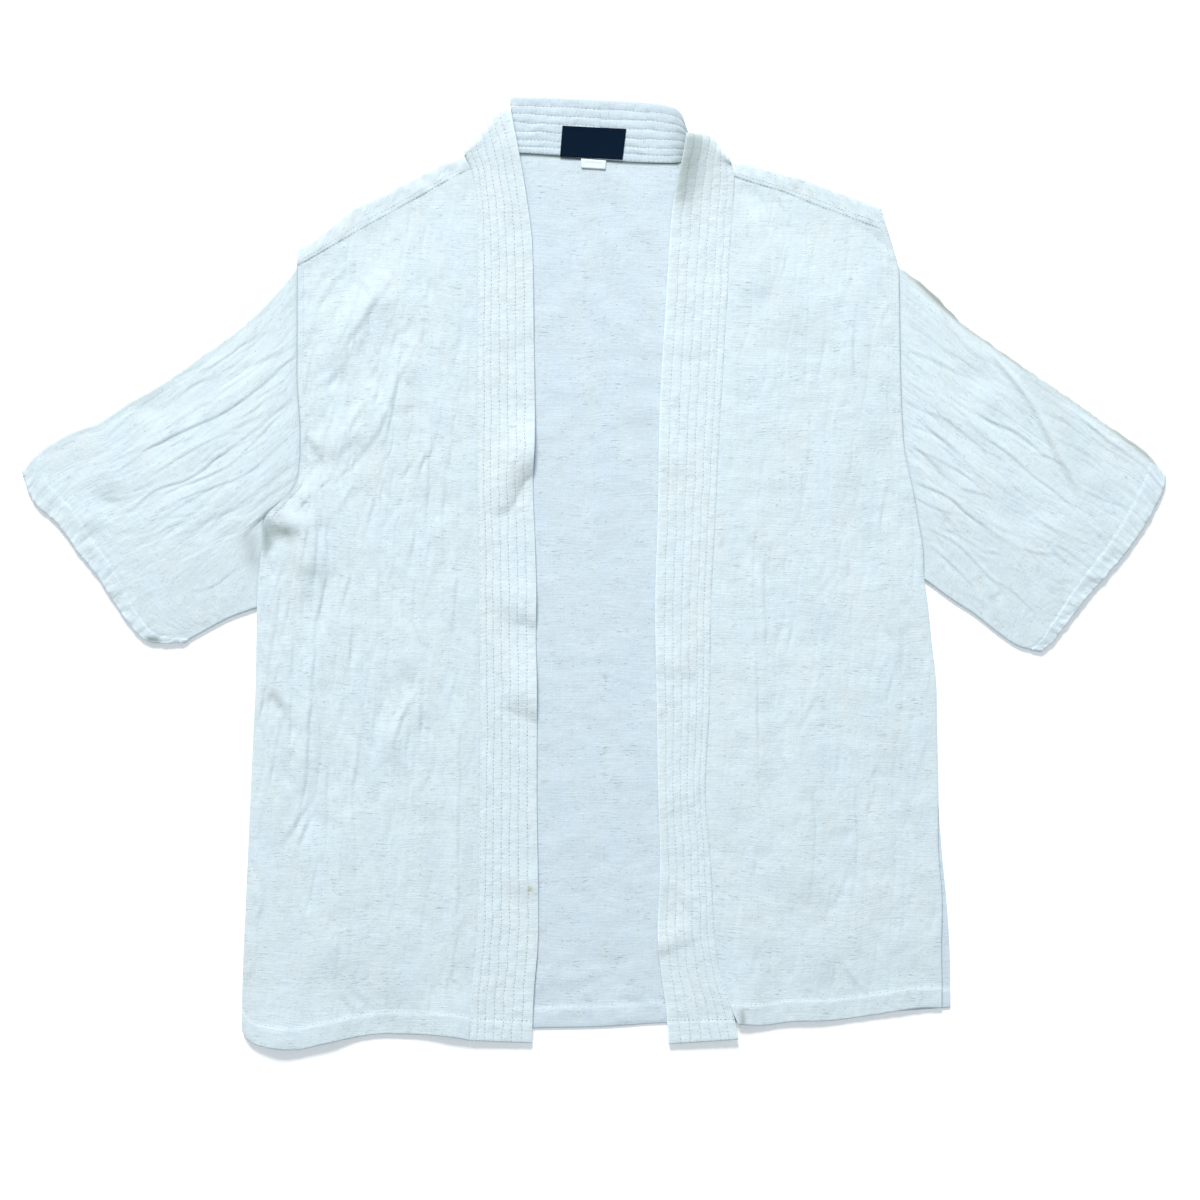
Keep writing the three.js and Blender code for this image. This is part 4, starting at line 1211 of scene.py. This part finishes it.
def make_fronts():
    """Both fronts, with short creases strewn over them."""
    gap = np.array([0, SEAM])
    seam_right = curve(np.array(SHOULDER_SEAM_RIGHT, float) - gap)
    seam_left = curve(np.array(SHOULDER_SEAM_LEFT, float) - gap)
    side_right = curve(np.vstack([right_side[:-1], seam_right(np.array([0.0]))]))
    side_left = curve(np.vstack([left_side[:-1], seam_left(np.array([1.0]))]))
    strewn_right = strewn((-275, -340, -105, 240), 130, 269, 13, (10, 50), (0.24, 0.6), 64)
    strewn_right += strewn((-272, -190, -110, 70), 90, 268, 9, (14, 60), (0.3, 0.65), 67)
    strewn_right += strewn((-235, 40, -120, 240), 60, 240, 20, (10, 36), (0.25, 0.7), 65)
    strewn_left = strewn((120, -330, 265, 290), 120, 269, 24, (10, 40), (0.2, 0.6), 66)
    creases_right, creases_left = CREASES_FRONT_RIGHT + strewn_right, CREASES_FRONT_LEFT + strewn_left
    right = make_front(
        "kimono_front_right",
        (side_right, band_edge(BAND_RIGHT, -1, HEM_RIGHT[-1]), curve(HEM_RIGHT), seam_right),
        (RIDGES_FRONT_RIGHT, creases_right, DENTS_FRONT_RIGHT, LIFTS_RIGHT),
        60, crinkle_right, -1, 0.66,
    )
    left = make_front(
        "kimono_front_left",
        (band_edge(BAND_LEFT, 1, HEM_LEFT[0]), side_left, curve(HEM_LEFT), seam_left),
        (RIDGES_FRONT_LEFT, creases_left, DENTS_FRONT_LEFT, LIFTS_LEFT),
        70, crinkle_left, 1, 0.56,
    )
    return right, left


# ---- sleeves ----
def sleeve_height(x, y, w, s, tables, seed):
    """Height of a sleeve's upper layer, at shares w across it and s along it."""
    ridge_rows, crease_rows, dents = tables
    across, along, to_cuff = w * SLEEVE_WIDTH, s * SLEEVE_LENGTH, (1 - s) * SLEEVE_LENGTH
    raised = PILLOW * 4 * w * (1 - w) * smoothstep(s, 0, 0.2) * smoothstep(1 - s, -0.3, 0.3)
    folded = (ridges(x, y, ridge_rows) + dented(x, y, dents)) * smoothstep(s, 0, 0.05)
    fine = within(w, 0.02) * smoothstep(s, 0, 0.012)
    wx, wy = wobble(across, along, seed + 5, 4.0, 34)
    sharp = 0.12 * creased(wx / 13, wy / 90, seed + 6, 8)
    sharp = sharp - 0.22 * creased(wx / 19, wy / 80, seed + 7, 14)
    sharp = sharp * smoothstep(w, 0.15, 0.45)
    soft = mixed(across, along, (0.2, 26, 44, seed + 8), (0.08, 8, 11, seed + 10))
    pucker = mixed(across, to_cuff, (0.55, 7, 20, seed + 9), (0.9, 15, 14, seed + 11))
    fine_height = 0.9 * creases(x, y, crease_rows, seed, 0.6) + sharp + soft
    z = FRONT_MID + within(w, 0.06) * (raised + folded)
    z = z + fine * (fine_height + pucker * bell(to_cuff, 19))
    z = z - 0.4 * on_hem_stitches(to_cuff) - 0.8 * bell(along, 3.4)
    return above(z, FRONT_FLOOR)


def fold_round(w):
    """How much of its height a sleeve's upper layer has near its folds, as it comes down."""
    from_fold = np.minimum(w, 1 - w) * SLEEVE_WIDTH
    return np.sqrt(np.clip(1 - (1 - np.clip(from_fold / 2.0, 0, 1)) ** 2, 0, 1))


def sleeve_outline(spec, seed):
    """A sleeve's armhole, cuff, lower fold and upper fold, as curves."""
    side, (first, last) = spec["side"], spec["rows"]
    body = right_side if side < 0 else left_side
    dense = line(body)[first * FINE : last * FINE + 1] + [side * SEAM, 0]
    upper = frayed(np.vstack([dense[-1:], spec["upper"]]), seed)
    lower = curve(np.vstack([dense[:1], spec["lower"]]))
    return by_length(dense), frayed(spec["cuff"], seed + 1), lower, upper


def make_sleeve(name, spec, tables, seed):
    """A flat tube: an upper layer over a plain lower one, as one ring of rows."""
    outline = sleeve_outline(spec, seed)
    w_top = steps(SLEEVE_WIDTH, SLEEVE_CELLS[0], low=FOLD_LINES, high=FOLD_LINES)
    w_low = np.linspace(1 - 0.8 / SLEEVE_WIDTH, 0.8 / SLEEVE_WIDTH, SLEEVE_LOWER_ROWS)
    at_cuff = (0.5, 1.2, 2.2, 3.4, *HEM_LINES)
    ss = steps(SLEEVE_LENGTH, SLEEVE_CELLS[1], low=(0.6, 1.6, 3.0), high=at_cuff)
    top_p = coons(*outline, ss, w_top).transpose(1, 0, 2)
    low_p = coons(*outline, ss, w_low).transpose(1, 0, 2)
    s = ss[None]
    z = sleeve_height(top_p[..., 0], top_p[..., 1], w_top[:, None], s, tables, seed)
    seam_level = (FRONT_MID + BACK_MID) / 2
    z = seam_level + (z - seam_level) * fold_round(w_top)[:, None]
    mid = np.concatenate([full(top_p, z), full(low_p, BACK_MID)])
    layer = np.concatenate([np.ones(len(w_top)), np.zeros(len(w_low))])[:, None]
    flat = np.concatenate([w_top * SLEEVE_WIDTH, -w_low * SLEEVE_WIDTH])[:, None] + 0 * s
    x, y = mid[..., 0], mid[..., 1]
    shade = tinted(x, y, SLEEVE_SHADE_LIGHT_AND_STAIN) * tinted(x, y, SLEEVE_EDGE_SOIL_AND_SHADE, hue=EDGE_SOIL_AND_SHADE_HUE)
    rows = slice(0, len(w_top))
    if spec["side"] > 0:
        mid, layer, flat, shade = mid[::-1], layer[::-1], flat[::-1], shade[::-1]
        rows = slice(len(w_low), None)
    n = normals(mid, True)
    along, to_cuff = s * SLEEVE_LENGTH, (1 - s) * SLEEVE_LENGTH
    thin = edge_thin(to_cuff) * edge_thin(along + 0.35)
    top = mid + n * ((CLOTH / 2 + layer * HEM_RISE * on_hem(to_cuff)) * thin)[..., None]
    bottom = mid - n * (CLOTH / 2 * thin)[..., None]
    top[..., 2] = np.maximum(top[..., 2], 0)
    coordinates = np.stack([along + 0 * flat, flat], -1)
    piece = shell(name, top, bottom, coordinates, CLOTH_FRONT, ringed=True, tint=shade)
    column = nearest((1 - ss) * SLEEVE_LENGTH, HEM_DEPTH)
    stitches["sleeves"].run(top[rows, column], n[rows, column], *HEM_STITCH)
    return piece


def make_sleeves():
    """Both sleeves, with short creases strewn over them."""
    strewn_right = strewn((-400, 30, -245, 190), 64, 211, 8, (14, 60), (0.16, 0.4), 114)
    strewn_right += strewn((-420, -40, -270, 60), 26, 205, 30, (7, 24), (0.1, 0.25), 115)
    strewn_left = strewn((250, 0, 420, 190), 60, 322, 12, (14, 55), (0.2, 0.5), 134)
    strewn_left += strewn((270, -40, 430, 60), 40, 318, 46, (7, 24), (0.2, 0.45), 135)
    right = (RIDGES_SLEEVE_RIGHT, CREASES_SLEEVE_RIGHT + strewn_right, DENTS_SLEEVE_RIGHT)
    left = (RIDGES_SLEEVE_LEFT, CREASES_SLEEVE_LEFT + strewn_left, DENTS_SLEEVE_LEFT)
    return (
        make_sleeve("kimono_sleeve_right", SLEEVE_RIGHT, right, 110),
        make_sleeve("kimono_sleeve_left", SLEEVE_LEFT, left, 130),
    )


# ---- band ----
def band_lines(band):
    """The band's free and seam edges as fine lines, with the length at which it turns down."""
    front = np.array(band["front"], float)
    free, seam = list(front[:, :3]), list(front[:, 3:])
    fold_free, fold_seam, fold_top = band["fold"]
    f, s = np.array(fold_free, float), np.array(fold_seam, float)
    radius = (fold_top - NECK_BAND_MID) / 2
    across = (f - s) / np.linalg.norm(f - s)
    out = np.array([-across[1], across[0]])
    if out @ (f - front[-1, :2]) < 0:
        out = -out
    ways = [end - front[-1, k : k + 2] for end, k in ((f, 0), (s, 3))]
    ways = [way / (way @ out) for way in ways]
    turned = len(free) + 2
    for k, turn in enumerate(np.linspace(0, np.pi, 5)):
        shift = radius * (math.sin(turn) - 1)
        z = NECK_BAND_MID + radius * (1 + math.cos(turn))
        for points, end, way in ((free, f, ways[0]), (seam, s, ways[1])):
            points.append(np.array([*(end + (way if k < 2 else out) * shift), z]))
    for fx, fy, sx, sy in band["neck"]:
        free.append(np.array([fx, fy, NECK_BAND_MID]))
        seam.append(np.array([sx, sy, NECK_BAND_MID]))
    sub = 14
    return line(free, sub), line(seam, sub), turned * sub, out


def quilted(at, along, seed):
    """Heights over the band's wall: ribs between the rows of quilting, drawn into puckers."""
    valleys = np.array(QUILT_ROWS) * BAND_WIDTH
    rib = np.zeros(len(at))
    puckers = np.zeros((len(at), along.shape[1]))
    for k, (low, high) in enumerate(zip(valleys, valleys[1:])):
        inside = (at >= low) & (at <= high)
        rib[inside] = np.sin(np.pi * (at[inside] - low) / (high - low)) ** 0.6
        first = seed + 3 * k
        parts = (0.7, 11, 4.6, first), (0.5, 6, 9, first + 1), (0.35, 9, 26, first + 2)
        puckers[inside] = mixed(at[inside][:, None], along, *parts)
    uneven = 1 + 0.4 * noise(at[:, None] / 7, along / 30, seed)
    return rib[:, None] * (uneven * 0.7 * RIB_RISE + 0.30 * puckers)


def band_middle(lines, far, stations, ws, seed):
    """The middle of the band's wall; its rows drift a little on their way."""
    free_at, seam_at = (
        np.stack([np.interp(stations, far, p[:, k]) for k in range(3)], -1) for p in lines
    )
    drift = noise(ws[:, None] * 2.6, stations[None] / 21, seed + 50)
    drift = drift + 0.5 * noise(ws[:, None] * 4, stations[None] / 8, seed + 51)
    shares = (ws[:, None] + 0.02 * drift * (ws * (1 - ws) * 4)[:, None] ** 0.5)[..., None]
    return seam_at[None] * (1 - shares) + free_at[None] * shares


def fold_band(mid, ws, along, turned_at, bulge, out, seed):
    """Waves and folds in the band's front part, and its bulge where it turns down."""
    waves = 0.35 * noise(ws[:, None] * BAND_WIDTH / 60, along / 34, seed + 2)
    waves = waves * smoothstep(along, 0, 30)
    waves = waves + folds(mid[..., 0], mid[..., 1], BAND_FOLDS) * smoothstep(ws, 0, 0.75)[:, None]
    mid[..., 2] += waves * smoothstep(turned_at - along, 60, 120)
    mid[..., 2] = np.where(along < turned_at - 20, above(mid[..., 2], BAND_FLOOR), mid[..., 2])
    at_fold = bell(along - turned_at, np.where(along < turned_at, 11, 3))
    shift = np.interp(ws, *np.transpose(bulge))[:, None] * at_fold
    mid[..., :2] += shift[..., None] * out


def band_shade(mid, at, along, turned_at, seed):
    """Stains and painted shade: on the quilting rows and the inside, with a painted highlight on the free
    edge.
    """
    x, y = mid[..., 0], mid[..., 1]
    shade = tinted(x, y, BAND_PAINTED_SHADE) * tinted(x, y, STAINS_BAND, hue=STAIN_HUE)
    # painted shade along the quilting rows, in broken lines, for shadowed needle holes
    rows = sum(bell(at - v * BAND_WIDTH, 0.45) for v in QUILT_ROWS[1:-1])
    rows = rows[:, None] * (0.03 + 0.12 * noise(at[:, None] / 3, along / 4.2, seed + 40)).clip(0)
    # applies the rows' painted shade, and a painted highlight along the free edge
    shade = shade * (1 - rows + 0.2 * bell(BAND_WIDTH - at, 0.7)[:, None])[..., None]
    # painted shade on the inside, where the band turns down at the neck
    inner = smoothstep(along - turned_at, -3, 3)[..., None]
    return shade * (1 - inner * np.array(INSIDE_SHADE))


def sew_band(sewn, top, bottom, n, at, stations, turned_at, side):
    """The rows of quilting, each on the face that shows, and the hem's stitches."""
    lower, upper = stations <= turned_at - 5, stations >= turned_at + 6
    for share in QUILT_ROWS[:-1]:
        k = nearest(at, max(share * BAND_WIDTH, 0.9))
        size = QUILT_STITCH[side] if share else BAND_SEAM_STITCH
        sewn.run(top[k][lower], n[k][lower], *size)
        sewn.run(bottom[k][upper], -n[k][upper], *size)
    row = nearest(stations, HEM_DEPTH)
    sewn.run(top[:, row], n[:, row], *HEM_STITCH)


def make_band(name, band, side, seed):
    """Half of the band, from its foot over its turn at the neck to the centre back."""
    free_line, seam_line, turned, out = band_lines(band)
    far = lengths((free_line + seam_line) / 2)
    turned_at = far[turned]
    even = np.linspace(4, far[-1], int(far[-1] / BAND_CELLS[1]))
    stations = np.unique(np.concatenate([[0, 0.5, 1.2, 3], even]))
    rows = [v * BAND_WIDTH + d for v in QUILT_ROWS[1:-1] for d in (-0.5, 0, 0.5)]
    ws = steps(BAND_WIDTH, BAND_CELLS[0], low=(0.4, 1.0, *rows), high=(0.4, 1.0))
    at, along = ws * BAND_WIDTH, stations[None]
    mid = band_middle((free_line, seam_line), far, stations, ws, seed)
    fold_band(mid, ws, along, turned_at, band["bulge"], out, seed)
    ribbed = 1 + 2.0 * bell(along - turned_at, np.where(along < turned_at, 5, 1))
    relief = quilted(at, along, seed) * ribbed * np.where(along > turned_at, 1.25, 1.0)
    if side > 0:
        mid, relief, at = mid[::-1], relief[::-1], at[::-1]
    n = normals(mid)
    outer = along < turned_at
    thin = edge_thin(along) * edge_thin(at[:, None] + 0.6)
    thin = thin * edge_thin(BAND_WIDTH - at[:, None] + 0.1)
    hem = 0.4 * on_hem(along) - 0.2 * on_hem_stitches(along)
    over = (BAND_WALL / 2 + np.where(outer, relief + hem, 0)) * thin
    under = (BAND_WALL / 2 + np.where(outer, 0, relief)) * thin
    top, bottom = mid + n * over[..., None], mid - n * under[..., None]
    for face in (top, bottom):
        face[..., 2] = np.maximum(face[..., 2], 0)
    coordinates = np.stack(np.broadcast_arrays(at[:, None], along), -1)
    shade = band_shade(mid, at, along, turned_at, seed)
    piece = shell(name, top, bottom, coordinates, CLOTH_BAND, tint=shade)
    sewn = stitches[name.replace("kimono_", "")]
    sew_band(sewn, top, bottom, n, at, stations, turned_at, side)
    return piece


# ---- label and tab ----
def make_patch(name, corners, low, high, material, cell, bow):
    """A small flat piece with turned ends between two heights, in a low wave."""
    sw, se, ne, nw = (np.array(c, float) for c in corners)
    wide, tall = np.linalg.norm(se - sw), np.linalg.norm(nw - sw)
    us = steps(wide, cell, low=(0.3, 0.8), high=(0.3, 0.8))
    vs = steps(tall, cell, low=(0.3, 0.8), high=(0.3, 0.8))
    u, v = us[:, None, None], vs[None, :, None]
    p = (1 - u) * (1 - v) * sw + u * (1 - v) * se + u * v * ne + (1 - u) * v * nw
    in_u = np.minimum(us, 1 - us)[:, None] * wide
    in_v = np.minimum(vs, 1 - vs)[None] * tall
    thin = edge_thin(in_u + 0.2) * edge_thin(in_v + 0.2)
    wave = bow * noise(p[..., 0] / 14, p[..., 1] / 10, 91)
    folded = 0.25 * ((in_u < 3) | (in_v < 2.2))
    lower = low + np.clip(wave, 0, 1)
    upper = lower + (high - low + folded * (high - low)) * thin
    return shell(name, full(p, upper), full(p, lower), p, material), full(p, upper)


def make_label():
    low = NECK_BAND_MID + BAND_WALL / 2 + RIB_RISE + 0.1
    label, top = make_patch("neck_label", LABEL_CORNERS, low, low + 0.7, NAVY, 1.0, 0.3)
    up = np.tile([0, 0, 1.0], (top.shape[1], 1))
    for column in (2, -3):
        stitches["label"].run(top[column], up, *LABEL_STITCH)
    tab, _ = make_patch("size_tab_tape", TAB_CORNERS, CLOTH + 0.3, CLOTH + 1.2, WHITE_TAPE, 0.8, 0.2)
    return label, tab


# ---- the garment ----
back = make_back()
front_right, front_left = make_fronts()
sleeve_right, sleeve_left = make_sleeves()
band_right = make_band("kimono_band_right", BAND_RIGHT, -1, 150)
band_left = make_band("kimono_band_left", BAND_LEFT, 1, 160)
label, tab = make_label()

threads = [made.build(THREADS[name]) for name, made in stitches.items()]
pieces = {
    "back": (back, "cloth"),
    "front_right": (front_right, "cloth"),
    "front_left": (front_left, "cloth"),
    "sleeve_right": (sleeve_right, "cloth"),
    "sleeve_left": (sleeve_left, "cloth"),
    "band_right": (band_right, "band_cloth"),
    "band_left": (band_left, "band_cloth"),
    "label": (label, "label_weave"),
    "size_tab": (tab, "tab_weave"),
}
for node, (piece, slot) in pieces.items():
    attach(piece, "root")
    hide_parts(node)
for thread in threads:
    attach(thread, "root")


# ---- stage, light and camera ----
def make_floor():
    mesh = bpy.data.meshes.new("floor")
    corners = [(x * FLOOR_HALF, y * FLOOR_HALF, FLOOR_Z) for x, y in ((-1, -1), (1, -1), (1, 1), (-1, 1))]
    mesh.from_pydata(corners, [], [(0, 1, 2, 3)])
    material, t = nodes_of("floor_paper")
    paper = t.put("BsdfDiffuse", {"Color": (0.985, 0.99, 1, 1)})
    glow = t.put("Emission", {"Color": (0.90, 0.96, 1, 1), "Strength": FLOOR_GLOW})
    t.show(t.put("AddShader", {0: paper.outputs[0], 1: glow.outputs[0]}))
    mesh.materials.append(material)
    floor = bpy.data.objects.new("floor", mesh)
    bpy.context.scene.collection.objects.link(floor)


def make_light():
    """A pale sky, and one large window beyond the neck."""
    world = bpy.data.worlds.new("studio")
    bpy.context.scene.world = world
    world.use_nodes = True
    sky = world.node_tree.nodes["Background"]
    sky.inputs["Color"].default_value = (0.90, 0.962, 1, 1)
    sky.inputs["Strength"].default_value = SKY_STRENGTH
    data = bpy.data.lights.new("window", "AREA")
    data.shape = "SQUARE"
    data.size = WINDOW_SIZE
    data.energy = WINDOW_POWER
    data.color = (1, 0.985, 0.965)
    window = bpy.data.objects.new("window", data)
    window.location = WINDOW_PLACE
    window.rotation_euler = (-Vector(WINDOW_PLACE)).to_track_quat("-Z", "Y").to_euler()
    bpy.context.scene.collection.objects.link(window)
    bpy.context.scene.view_settings.view_transform = "Standard"
    bpy.context.scene.view_settings.look = "None"


def make_camera():
    """The camera looks straight down, as the photograph's does."""
    data = bpy.data.cameras.new("camera")
    data.lens = LENS
    data.sensor_width = SENSOR
    camera = bpy.data.objects.new("camera", data)
    camera.location = (*PICTURE_MIDDLE, PICTURE_WIDTH * LENS / SENSOR)
    bpy.context.scene.collection.objects.link(camera)
    bpy.context.scene.camera = camera


make_floor()
make_light()
make_camera()

bpy.context.view_layer.update()
